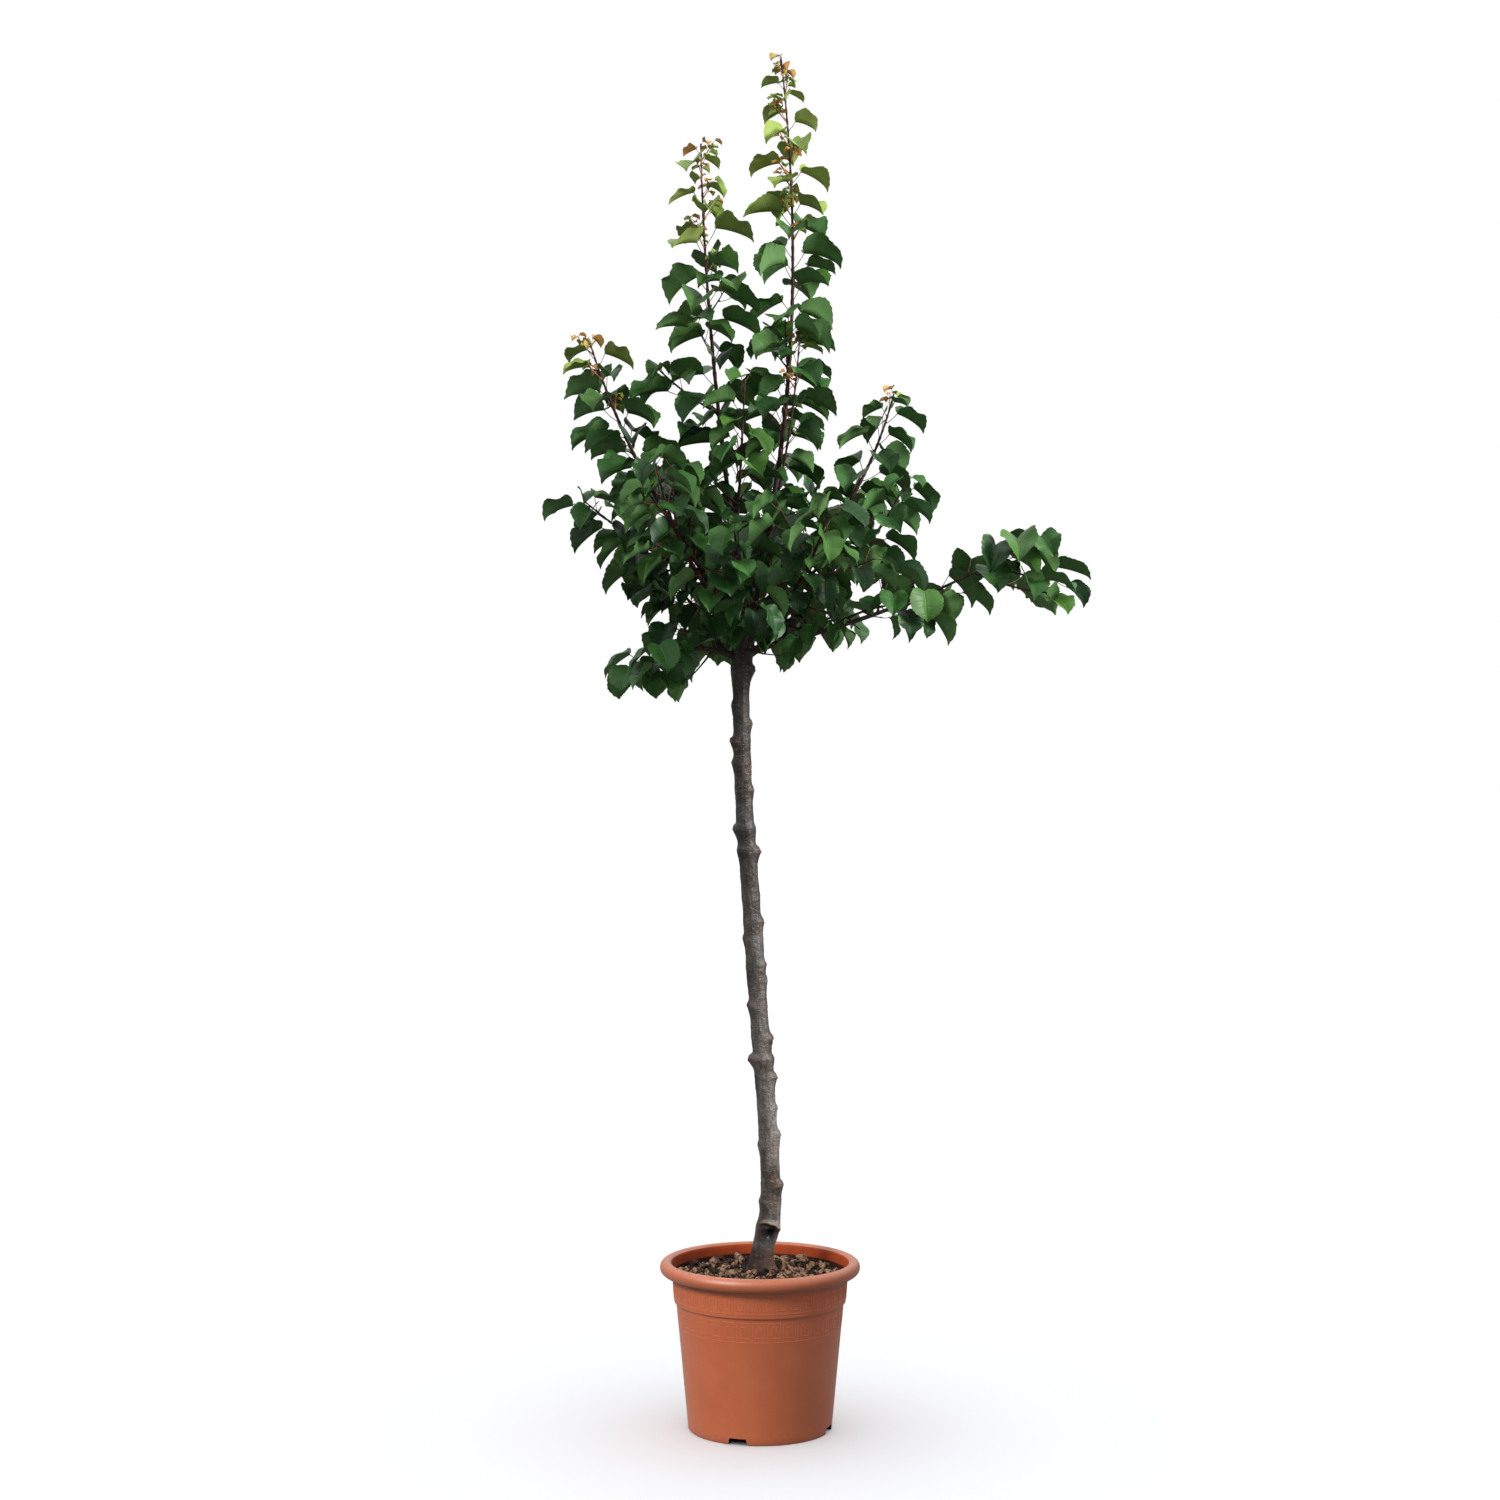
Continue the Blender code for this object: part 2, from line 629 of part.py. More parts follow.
def leaf_at(shoot, twig, share, number, attempt):
    """One leaf's stance at a share of its twig, with more freedom at each further attempt."""
    chance = random.Random(f"{shoot.name} {tuple(twig.span)} {twig.leaves} {number} {attempt}")
    freedom = BEARING_SPREAD + BEARING_PER_TRY * attempt
    low, high = twig.span
    at = low + (high - low) * share
    along = heading(twig.curve, at)
    bearing = GOLDEN_ANGLE * number + chance.uniform(-freedom, freedom)
    across = Matrix.Rotation(math.radians(bearing), 3, along) @ along.orthogonal().normalized()
    rise = math.radians(PETIOLE_RISE + chance.uniform(-RISE_SPREAD, RISE_SPREAD))
    petiole = along * math.cos(rise) + across * math.sin(rise) + Vector((0, 0, PETIOLE_LIFT))
    petiole.normalize()
    flat = Vector((petiole.x + across.x, petiole.y + across.y, 0))
    if flat.length < UPRIGHT_LIMIT:
        flat = polar(bearing)
    young = max(0, (share - YOUNG_FROM) / (1 - YOUNG_FROM))
    size = 1 - (1 - shoot.tip_size) * young**YOUNG_POWER
    if share < AHEAD_LIMIT and chance.random() < AHEAD_SHARE:
        size += (1 - size) * AHEAD_GAIN
    size *= chance.uniform(*SIZE_RANGE) * (1 - SHRINK_PER_TRY * attempt)
    pitch = FIRST_PITCH - HANG_PITCH * shoot.hang + chance.uniform(-PITCH_SPREAD, PITCH_SPREAD)
    fold = LEAF_FOLD - HANG_UNFOLD * shoot.hang
    return Leaf(
        root=bend(twig.curve, at),
        petiole=petiole,
        petiole_length=PETIOLE_LENGTH * size * chance.uniform(*PETIOLE_RANGE),
        heading=flat.normalized(),
        pitch=math.radians(pitch),
        curl=math.radians(LEAF_BEND + chance.uniform(-BEND_SPREAD, BEND_SPREAD)),
        fold=math.radians(fold + chance.uniform(-FOLD_SPREAD, FOLD_SPREAD)),
        roll=math.radians(chance.uniform(-ROLL_SPREAD, ROLL_SPREAD)),
        length=LEAF_LENGTH * size,
    )


def blade_frame(leaf, share):
    """A point on the leaf's arched midrib, with the directions across the blade and out of it."""
    pitch = leaf.pitch - leaf.curl * share
    scale = leaf.length / leaf.curl
    forward = scale * (math.sin(leaf.pitch) - math.sin(pitch))
    upward = scale * (math.cos(pitch) - math.cos(leaf.pitch))
    foot = leaf.root + leaf.petiole * leaf.petiole_length
    place = foot + leaf.heading * forward + Vector((0, 0, upward))
    across = leaf.heading.cross(Vector((0, 0, 1)))
    out = -leaf.heading * math.sin(pitch) + Vector((0, 0, math.cos(pitch)))
    tilt_out = out * math.cos(leaf.roll) - across * math.sin(leaf.roll)
    tilt_across = across * math.cos(leaf.roll) + out * math.sin(leaf.roll)
    return place, tilt_across, tilt_out


def blade_edge(leaf, share, half, sign):
    """A point out from the midrib, on the left or right wall of the folded blade."""
    place, across, out = blade_frame(leaf, share)
    return place + (across * math.cos(leaf.fold) * sign + out * math.sin(leaf.fold)) * half


def leaf_corners(leaf, clear=0):
    """The corners of one leaf. A leaf with some clear room round it is what the tests use."""
    girth = PETIOLE_RADIUS + clear
    core = ROOT_RADIUS + clear
    foot, across, out = blade_frame(leaf, 0)
    side = leaf.heading.cross(Vector((0, 0, 1)))
    below = leaf.petiole.cross(side)
    mitre = (leaf.petiole + out.cross(across)).cross(side).normalized()
    corners = [leaf.root - side * core, leaf.root + side * core, leaf.root + below * core]
    corners += [blade_edge(leaf, 0, girth, -1), blade_edge(leaf, 0, girth, 1), foot + mitre * girth]
    for sign in (-1, 1):
        for share, width in (SHOULDER, FLANK):
            half = LEAF_WIDTH * leaf.length / 2 * width + clear
            corners.append(blade_edge(leaf, share, half, sign))
    middle, _, out = blade_frame(leaf, MIDDLE)
    thick = LEAF_THICKNESS / 2 + clear
    corners += [middle + out * thick, middle - out * thick, blade_frame(leaf, 1 + clear)[0]]
    return corners


def leaf_tree(leaf, faces, clear):
    return BVHTree.FromPolygons(leaf_corners(leaf, clear), faces)


def leaf_fits(leaf, own_stems, others, leaves):
    """Whether a leaf bends little at its foot and clears its stems, other limbs and leaves."""
    _, across, out = blade_frame(leaf, 0)
    if leaf.petiole.dot(out.cross(across)) < SHARPEST_TURN:
        return False
    whole = leaf_tree(leaf, LEAF_FACES, CLEARANCE)
    blade = leaf_tree(leaf, BLADE_FACES, CLEARANCE)
    if any(blade.overlap(stem) for stem in own_stems):
        return False
    if any(whole.overlap(limb) for limb in others):
        return False
    middle = blade_frame(leaf, MIDDLE)[0]
    reach = leaf.length + leaf.petiole_length
    near = (tree for place, size, tree in leaves if (place - middle).length < reach + size)
    return not any(whole.overlap(tree) for tree in near)


def twig_leaves(shoot, twig, own_stems, others, leaves):
    """The leaves of one twig, from its tip down. One that fits nowhere is skipped."""
    grown = []
    for number in reversed(range(twig.leaves)):
        share = twig.bare + (1 - twig.bare) * ((number + LEAF_OFFSET) / twig.leaves) ** LEAF_CROWDING
        for attempt in range(TRIES):
            leaf = leaf_at(shoot, twig, min(share, LAST_LEAF), number, attempt)
            if leaf_fits(leaf, own_stems, others, leaves):
                grown.append(leaf)
                middle = blade_frame(leaf, MIDDLE)[0]
                reach = leaf.length + leaf.petiole_length
                leaves.append((middle, reach, leaf_tree(leaf, LEAF_FACES, 0)))
                break
    return grown


def twig_tube(name, twig, finish, collection):
    return curve_tube(
        name, twig.curve, twig.span, twig.radii, twig.steps, STEM_SIDES, finish, collection
    )


def join_mass(stem, pieces):
    """One Boolean union of a stem with its side twigs and leaves."""
    group = bpy.data.collections.new(stem.name + "_pieces")
    for piece in pieces:
        group.objects.link(piece)
    modifier = stem.modifiers.new("join", "BOOLEAN")
    modifier.operation = "UNION"
    modifier.operand_type = "COLLECTION"
    modifier.collection = group
    apply_modifiers(stem)
    for piece in pieces:
        remove(piece)
    bpy.data.collections.remove(group)


def make_masses(shoots, curves, limbs, collection):
    """The masses of leaves. All stems and side twigs come first, so each leaf can avoid them."""
    finish = material("foliage", FOLIAGE)
    limb_trees = [bvh(limb) for limb in limbs]
    twigs = {}
    for shoot in shoots:
        stem = stem_twig(shoot, curves[shoot.name])
        twigs[shoot.name] = [(stem, twig_tube(shoot.name, stem, finish, collection))]
    trees = {name: [bvh(obj) for _, obj in own] for name, own in twigs.items()}
    for shoot in shoots:
        stem = twigs[shoot.name][0][0]
        for number in range(shoot.sprays):
            spray = spray_twig(shoot, stem, number)
            obj = twig_tube(f"{shoot.name}_spray_{number}", spray, finish, collection)
            shape = bvh(obj)
            others = [tree for name in trees if name != shoot.name for tree in trees[name]]
            if any(shape.overlap(tree) for tree in limb_trees + others + trees[shoot.name][1:]):
                remove(obj)
                continue
            twigs[shoot.name].append((spray, obj))
            trees[shoot.name].append(shape)
    leaves = []
    for shoot in shoots:
        own = trees[shoot.name]
        others = limb_trees + [tree for name in trees if name != shoot.name for tree in trees[name]]
        pieces = [obj for _, obj in twigs[shoot.name][1:]]
        for twig, _ in twigs[shoot.name]:
            for leaf in twig_leaves(shoot, twig, own, others, leaves):
                corners = leaf_corners(leaf)
                pieces.append(mesh_object("leaf", corners, LEAF_FACES, finish, collection))
        join_mass(twigs[shoot.name][0][1], pieces)


def main():
    for obj in list(bpy.data.objects):
        bpy.data.objects.remove(obj, do_unlink=True)
    tree = bpy.data.collections.new("potted_apricot_tree")
    bpy.context.scene.collection.children.link(tree)
    cutters = bpy.data.collections.new("cutters")
    bpy.context.scene.collection.children.link(cutters)
    make_pot(tree, cutters)
    make_soil(tree)
    limbs = [make_trunk("trunk", 0, tree)]
    grown = [make_trunk("trunk_clear", GAP, cutters)]
    curves = {}
    for shoot in SHOOTS:
        curves[shoot.name] = shoot_curve(shoot, curves)
        bough, clear = make_bough(shoot, curves[shoot.name], grown, tree, cutters)
        limbs.append(bough)
        grown.append(clear)
    for clear in grown:
        remove(clear)
    bpy.data.collections.remove(cutters)
    make_masses(SHOOTS, curves, limbs, tree)


if __name__ == "__main__":
    main()
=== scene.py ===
# %% [markdown]
# # A young apricot tree in its nursery pot
#
# This lesson dresses a plain CAD model of a potted apricot tree. The model is exact in place and
# size but coarse: a 32-sided pot, a 10-sided trunk and leaves of a few facets. Every piece is
# made again here, in the same place, with the form and finish of the real thing.
#
# The tree could be grown by an add-on or by Geometry Nodes. Plain Python with a seeded rule was
# chosen, because each step can be read, and because the same rule grew the coarse model.

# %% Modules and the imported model
import json
import math
import random

import bmesh
import bpy
import numpy as np
from mathutils import Matrix, Vector, noise
from mathutils.bvhtree import BVHTree

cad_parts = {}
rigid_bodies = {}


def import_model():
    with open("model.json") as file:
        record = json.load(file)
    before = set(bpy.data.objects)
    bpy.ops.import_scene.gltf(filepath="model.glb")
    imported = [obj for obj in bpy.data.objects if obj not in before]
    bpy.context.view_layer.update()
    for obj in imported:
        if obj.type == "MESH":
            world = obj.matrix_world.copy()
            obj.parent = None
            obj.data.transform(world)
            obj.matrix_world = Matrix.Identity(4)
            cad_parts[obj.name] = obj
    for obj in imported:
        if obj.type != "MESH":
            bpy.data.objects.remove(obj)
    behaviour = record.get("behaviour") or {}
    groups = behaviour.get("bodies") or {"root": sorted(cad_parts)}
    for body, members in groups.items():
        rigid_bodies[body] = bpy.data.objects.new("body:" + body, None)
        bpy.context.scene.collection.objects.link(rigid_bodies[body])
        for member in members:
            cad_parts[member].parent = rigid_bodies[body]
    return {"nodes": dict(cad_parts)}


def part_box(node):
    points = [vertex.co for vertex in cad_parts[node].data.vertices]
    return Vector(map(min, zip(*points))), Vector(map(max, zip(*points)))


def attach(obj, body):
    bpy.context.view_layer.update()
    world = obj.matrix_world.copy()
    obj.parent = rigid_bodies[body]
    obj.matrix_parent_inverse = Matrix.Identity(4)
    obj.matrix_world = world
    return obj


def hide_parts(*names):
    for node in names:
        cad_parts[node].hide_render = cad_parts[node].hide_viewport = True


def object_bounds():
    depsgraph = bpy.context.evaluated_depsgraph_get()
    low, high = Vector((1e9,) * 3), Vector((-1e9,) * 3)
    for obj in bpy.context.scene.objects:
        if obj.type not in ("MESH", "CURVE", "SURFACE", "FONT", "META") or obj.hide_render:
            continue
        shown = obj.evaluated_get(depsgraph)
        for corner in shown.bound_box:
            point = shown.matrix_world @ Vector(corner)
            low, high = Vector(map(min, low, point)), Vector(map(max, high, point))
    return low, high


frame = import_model()
CAD_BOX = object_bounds()
print("CAD model from", CAD_BOX[0], "to", CAD_BOX[1])

# %% [markdown]
# ## The view
#
# The tree was photographed from 5 m away with a level camera at chest height, so the pot's rim
# opens as a flat ellipse while the crown is seen from slightly below. A 60 mm lens on a 36 mm
# sensor gives that view. Parallel edges stay parallel, so no lens shift is needed.

# %% The camera
CAMERA_PLACE = (-0.02, -5.0, 1.352)
LENS = 60
SENSOR = 36

camera_data = bpy.data.cameras.new("camera")
camera_data.lens = LENS
camera_data.sensor_width = SENSOR
camera = bpy.data.objects.new("camera", camera_data)
camera.location = CAMERA_PLACE
camera.rotation_euler = (math.radians(90), 0, 0)
bpy.context.scene.collection.objects.link(camera)
bpy.context.scene.camera = camera
print("camera at", CAMERA_PLACE, "with a", LENS, "mm lens")

# %% [markdown]
# ## Light and floor
#
# The photograph was taken in soft light: the tops of the leaves are bright, the inside of the
# crown is dark, the trunk is lit from the right, and the pot from the left. A sky that is
# brighter above than at the horizon gives the first two. Two soft lamps give the others, and
# Blender's light linking lets one light only the tree and the other only the pot. Sun lamps would
# give hard shadows, which the photograph doesn't have. The backdrop and the floor look pale, yet
# pale surroundings would fill every dark side with light, so only the camera's own rays see them
# pale, and the light that bounces finds them grey.

# %% Helpers for nodes
def srgb(red, green, blue):
    """A colour as a screen shows it, 0 to 255, as the linear values that shaders take."""

    def linear(value):
        share = value / 255
        return share / 12.92 if share <= 0.04045 else ((share + 0.055) / 1.055) ** 2.4

    return (linear(red), linear(green), linear(blue), 1)


def feed(tree, socket, value):
    """Gives an input a value, or the output of another node."""
    if isinstance(value, bpy.types.NodeSocket):
        tree.links.new(value, socket)
    else:
        socket.default_value = value


def add(tree, kind, inputs=None, **settings):
    """A shader node. Each of its inputs is a value, or the output of another node."""
    made = tree.nodes.new("ShaderNode" + kind)
    for key, value in settings.items():
        setattr(made, key, value)
    for key, value in (inputs or {}).items():
        feed(tree, made.inputs[key], value)
    return made


# %% Helpers for values and colours that nodes work out
def maths(tree, operation, *values, clamp=False):
    """The output of a Math node."""
    made = add(tree, "Math", dict(enumerate(values)), operation=operation, use_clamp=clamp)
    return made.outputs[0]


def ramp(tree, value, low, high):
    """A value from 0 at low to 1 at high, with soft ends."""
    inputs = {"Value": value, "From Min": low, "From Max": high}
    return add(tree, "MapRange", inputs, interpolation_type="SMOOTHSTEP").outputs["Result"]


def fade_out(tree, value, low, high):
    """A value from 1 at low to 0 at high, along a straight line."""
    inputs = {"Value": value, "From Min": low, "From Max": high, "To Min": 1, "To Max": 0}
    return add(tree, "MapRange", inputs).outputs["Result"]


def mixed(tree, share, first, second):
    """The output of a Mix node between two colours."""
    made = add(tree, "Mix", data_type="RGBA")
    for name, value in (("Factor_Float", share), ("A_Color", first), ("B_Color", second)):
        feed(tree, next(socket for socket in made.inputs if socket.identifier == name), value)
    return next(socket for socket in made.outputs if socket.identifier == "Result_Color")


# %% The sky
SKY_TOP = (1.28, 1.30, 1.34, 1)
SKY_RIM = (0.20, 0.20, 0.21, 1)
SKY_FULL_FROM = 0.75
BACKDROP = srgb(255, 255, 255)

world = bpy.data.worlds.new("bright_sky")
bpy.context.scene.world = world
world.use_nodes = True
sky = world.node_tree
direction = add(sky, "TexCoord").outputs["Generated"]
height = add(sky, "SeparateXYZ", {"Vector": direction}).outputs["Z"]
glow = mixed(sky, ramp(sky, height, 0.0, SKY_FULL_FROM), SKY_RIM, SKY_TOP)
seen = add(sky, "LightPath").outputs["Is Camera Ray"]
sky.links.new(mixed(sky, seen, glow, BACKDROP), sky.nodes["Background"].inputs["Color"])
bpy.context.scene.view_settings.view_transform = "Standard"
print("sky from", SKY_RIM[0], "at the horizon to", SKY_TOP[0], "overhead")

# %% The soft lamps
LAMPS = {
    "tree_lamp": {"place": (4.3, -1.85, 3.6), "aim": (0, 0, 1.7), "size": 1.8, "power": 320},
    "pot_lamp": {"place": (-2.3, -2.3, 2.6), "aim": (0, 0, 0.2), "size": 1.2, "power": 130},
}
LAMP_OF_SLOT = {"terracotta_plastic": "pot_lamp", "potting_mix": "pot_lamp"}

lit_by = {}
for name, rule in LAMPS.items():
    lamp_data = bpy.data.lights.new(name, "AREA")
    lamp_data.shape = "DISK"
    lamp_data.size = rule["size"]
    lamp_data.energy = rule["power"]
    lamp = bpy.data.objects.new(name, lamp_data)
    place, aim = Vector(rule["place"]), Vector(rule["aim"])
    lamp.location = place
    lamp.rotation_euler = (aim - place).to_track_quat("-Z", "Y").to_euler()
    bpy.context.scene.collection.objects.link(lamp)
    lit_by[name] = bpy.data.collections.new(name + "_lights")
    lamp.light_linking.receiver_collection = lit_by[name]
print("lamps:", list(LAMPS))

# %% The pale floor
FLOOR_RADIUS = 60
FLOOR_SIDES = 64
FLOOR_DROP = 0.001
FLOOR_ROUGHNESS = 0.9
FLOOR_SEEN = srgb(250, 250, 250)
FLOOR_BOUNCE = srgb(128, 127, 125)

floor_mesh = bpy.data.meshes.new("floor")
circle = bmesh.new()
bmesh.ops.create_circle(circle, cap_ends=True, segments=FLOOR_SIDES, radius=FLOOR_RADIUS)
circle.to_mesh(floor_mesh)
circle.free()
floor = bpy.data.objects.new("floor", floor_mesh)
floor.location.z = -FLOOR_DROP
bpy.context.scene.collection.objects.link(floor)
floor_paint = bpy.data.materials.new("pale_floor")
floor_paint.use_nodes = True
floor_tree = floor_paint.node_tree
floor_shader = floor_tree.nodes["Principled BSDF"]
seen = add(floor_tree, "LightPath").outputs["Is Camera Ray"]
floor_tone = mixed(floor_tree, seen, FLOOR_BOUNCE, FLOOR_SEEN)
floor_tree.links.new(floor_tone, floor_shader.inputs["Base Color"])
floor_shader.inputs["Roughness"].default_value = FLOOR_ROUGHNESS
floor_mesh.materials.append(floor_paint)
print("floor:", FLOOR_RADIUS, "m wide to each side")

# %% [markdown]
# ## Shared effects
#
# Bark, plastic, leaves and soil share a few effects: slow blotches of a second tone, a fine grain,
# scattered spots, and dust that settles on what faces up. Each is a node group, built once and
# placed in each material with its own values. A group puts out only colours, masks and heights,
# and the shader stays in the material, where its gloss can be set.

# %% A helper for groups
def new_group(name, takes, gives):
    """An empty node group with named sockets, its input node and its output node."""
    group = bpy.data.node_groups.new(name, "ShaderNodeTree")
    for label, kind, start in takes:
        socket = "NodeSocket" + kind
        made = group.interface.new_socket(name=label, in_out="INPUT", socket_type=socket)
        made.default_value = start
    for label, kind in gives:
        socket = "NodeSocket" + kind
        group.interface.new_socket(name=label, in_out="OUTPUT", socket_type=socket)
    take = group.nodes.new("NodeGroupInput").outputs
    return group, take, group.nodes.new("NodeGroupOutput").inputs


def own_space(tree, scale):
    """The place on the surface in the object's own space, times a scale for each axis."""
    place = add(tree, "TexCoord").outputs["Object"]
    return add(tree, "VectorMath", {0: place, 1: scale}, operation="MULTIPLY").outputs[0]


def own_height(tree):
    """The height on the surface in the object's own space."""
    place = add(tree, "TexCoord").outputs["Object"]
    return add(tree, "SeparateXYZ", {"Vector": place}).outputs["Z"]


# %% Blotches: two tones that drift into each other
CLOUD_EDGES = (0.38, 0.64)

blotches, take, give = new_group(
    "blotches",
    [("First", "Color", (1, 1, 1, 1)), ("Second", "Color", (0, 0, 0, 1)),
     ("Stretch", "Vector", (1, 1, 1)), ("Scale", "Float", 10), ("Amount", "Float", 1)],
    [("Colour", "Color"), ("Mask", "Float")],
)
cloud = add(blotches, "TexNoise", {
    "Vector": own_space(blotches, take["Stretch"]), "Scale": take["Scale"],
    "Detail": 5, "Roughness": 0.6,
})
drifting = ramp(blotches, cloud.outputs["Fac"], *CLOUD_EDGES)
cloud_mask = maths(blotches, "MULTIPLY", drifting, take["Amount"])
blotches.links.new(mixed(blotches, cloud_mask, take["First"], take["Second"]), give["Colour"])
blotches.links.new(cloud_mask, give["Mask"])

# %% Grain: a fine roughness of the surface, as a height for a Bump node
grain, take, give = new_group(
    "grain",
    [("Stretch", "Vector", (1, 1, 1)), ("Scale", "Float", 300), ("Coarse", "Float", 0.5)],
    [("Height", "Float")],
)
spot = own_space(grain, take["Stretch"])
fine = add(grain, "TexNoise", {"Vector": spot, "Scale": take["Scale"], "Detail": 3})
quarter = maths(grain, "MULTIPLY", take["Scale"], 0.25)
coarse = add(grain, "TexNoise", {"Vector": spot, "Scale": quarter, "Detail": 2})
coarse_part = maths(grain, "MULTIPLY", coarse.outputs["Fac"], take["Coarse"])
grain.links.new(maths(grain, "ADD", fine.outputs["Fac"], coarse_part), give["Height"])

# %% Spots: scattered marks, such as the breathing pores of bark
spots, take, give = new_group(
    "spots",
    [("Stretch", "Vector", (1, 1, 1)), ("Scale", "Float", 60), ("Size", "Float", 0.3),
     ("Cover", "Float", 0.5)],
    [("Mask", "Float")],
)
cells = add(spots, "TexVoronoi", {
    "Vector": own_space(spots, take["Stretch"]), "Scale": take["Scale"],
})
chosen = add(spots, "SeparateColor", {"Color": cells.outputs["Color"]}).outputs["Red"]
there = maths(spots, "LESS_THAN", chosen, take["Cover"])
half = maths(spots, "MULTIPLY", take["Size"], 0.5)
disc = fade_out(spots, cells.outputs["Distance"], half, take["Size"])
spots.links.new(maths(spots, "MULTIPLY", disc, there), give["Mask"])

# %% Dust: a tone that lies on what faces up, and near the ground or the soil
PATCH_SCALE = 90
PATCH_EDGES = (0.35, 0.6)
LEVEL_FROM = 0.3

dust, take, give = new_group(
    "dust",
    [("Clean", "Color", (1, 1, 1, 1)), ("Dusty", "Color", (0.3, 0.2, 0.15, 1)),
     ("Level", "Float", 0), ("Reach", "Float", 0.05), ("Low Amount", "Float", 0.5),
     ("Top Amount", "Float", 0.2)],
    [("Colour", "Color"), ("Mask", "Float")],
)
above = maths(dust, "SUBTRACT", own_height(dust), take["Level"])
lowness = fade_out(dust, above, 0, take["Reach"])
facing_up = add(dust, "SeparateXYZ", {
    "Vector": add(dust, "NewGeometry").outputs["Normal"],
}).outputs["Z"]
patchy = add(dust, "TexNoise", {
    "Vector": own_space(dust, (1, 1, 1)), "Scale": PATCH_SCALE, "Detail": 4,
})
broken = ramp(dust, patchy.outputs["Fac"], *PATCH_EDGES)
low_part = maths(dust, "MULTIPLY", lowness, take["Low Amount"])
top_part = maths(dust, "MULTIPLY", ramp(dust, facing_up, LEVEL_FROM, 1.0), take["Top Amount"])
both = maths(dust, "ADD", low_part, top_part, clamp=True)
dust_mask = maths(dust, "MULTIPLY", both, broken)
dust.links.new(mixed(dust, dust_mask, take["Clean"], take["Dusty"]), give["Colour"])
dust.links.new(dust_mask, give["Mask"])
print("groups:", [group.name for group in bpy.data.node_groups])

# %% [markdown]
# ## Making materials
#
# Every material here is a Principled BSDF that takes its colour and its bump from the groups. The
# helpers below make a material, place a group in it and turn a height into a normal, so each
# material's own cell says only what is special about it.

# %% Helpers for materials
def new_material(name, roughness, gloss=0.5):
    """A material, its node tree and its shader. Gloss is how much the bare surface mirrors."""
    made = bpy.data.materials.new(name)
    made.use_nodes = True
    shader = made.node_tree.nodes["Principled BSDF"]
    shader.inputs["Roughness"].default_value = roughness
    shader.inputs["Specular IOR Level"].default_value = gloss
    return made, made.node_tree, shader


def place_group(tree, group, **values):
    """Places a group in a material. A value's name has _ where the socket's has a space."""
    made = tree.nodes.new("ShaderNodeGroup")
    made.node_tree = group
    for key, value in values.items():
        feed(tree, made.inputs[key.replace("_", " ")], value)
    return made.outputs


def raise_bump(tree, shader, height, depth):
    """Turns a height into the shader's normal. The depth is in metres."""
    bump = add(tree, "Bump", {"Height": height, "Distance": depth})
    tree.links.new(bump.outputs["Normal"], shader.inputs["Normal"])


# %% [markdown]
# ## Making meshes
#
# Most pieces here are tubes of changing thickness: trunk, boughs, twigs and leaf stalks. A curve
# with a bevel could make them, but it can't carry relief. So one function sweeps rings of corners
# along a path. It turns each ring as little as possible from the one before, so that the relief
# isn't twisted. Many small shapes are joined into one mesh by one other function, because a
# thousand separate objects would be slow.

# %% Sweeping a tube
UP = Vector((0, 0, 1))


def sweep(path, radii, sides, turn=0.0):
    """Corners and faces of a closed tube round a path, with one radius a point or one a corner."""
    path = np.asarray(path, dtype=float)
    count = len(path)
    along = np.gradient(path, axis=0)
    along /= np.linalg.norm(along, axis=1)[:, None]
    side = np.array(Vector(along[0]).orthogonal().normalized())
    angles = turn + np.arange(sides) * 2 * math.pi / sides
    radii = np.asarray(radii, dtype=float)
    if radii.ndim == 1:
        radii = np.repeat(radii[:, None], sides, axis=1)
    rings = np.empty((count, sides, 3))
    for i in range(count):
        side = side - along[i] * side.dot(along[i])
        side /= np.linalg.norm(side)
        other = np.cross(along[i], side)
        spokes = np.cos(angles)[:, None] * side + np.sin(angles)[:, None] * other
        rings[i] = path[i] + spokes * radii[i][:, None]
    corners = np.vstack([rings.reshape(-1, 3), path[:1], path[-1:]])
    faces = []
    for i in range(count - 1):
        for j in range(sides):
            k = (j + 1) % sides
            faces.append((i * sides + j, i * sides + k, (i + 1) * sides + k, (i + 1) * sides + j))
    foot, tip = count * sides, count * sides + 1
    last = (count - 1) * sides
    faces += [(foot, (j + 1) % sides, j) for j in range(sides)]
    faces += [(tip, last + j, last + (j + 1) % sides) for j in range(sides)]
    return corners, faces


# %% Joining many shapes into one piece
def joined(name, chunks, finishes, creased=False):
    """One object from chunks of corners and faces. All faces take the first finish."""
    corners = np.vstack([chunk[0] for chunk in chunks])
    faces = []
    start = 0
    for chunk in chunks:
        faces += [tuple(start + corner for corner in face) for face in chunk[1]]
        start += len(chunk[0])
    mesh = bpy.data.meshes.new(name)
    mesh.from_pydata(corners.tolist(), [], faces)
    for finish in finishes:
        mesh.materials.append(finish)
    if creased:
        mesh.shade_flat()
    else:
        mesh.shade_smooth()
    obj = bpy.data.objects.new(name, mesh)
    bpy.context.scene.collection.objects.link(obj)
    return obj


# %% Values on corners, and a piece's place in the model
def write_values(obj, name, values):
    """A named number for each corner of a mesh, which its material can read."""
    attribute = obj.data.attributes.new(name, "FLOAT", "POINT")
    attribute.data.foreach_set("value", np.asarray(values, dtype=np.float32))


def settle(obj, slot, *nodes):
    """A piece rides on the one body, takes the lamp of its slot, and stands for its CAD nodes."""
    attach(obj, "root")
    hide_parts(*nodes)
    lit_by[LAMP_OF_SLOT.get(slot, "tree_lamp")].objects.link(obj)
    faces = len(obj.data.polygons)
    print(f"{obj.name}: {faces} faces, stands for {len(nodes)} nodes")


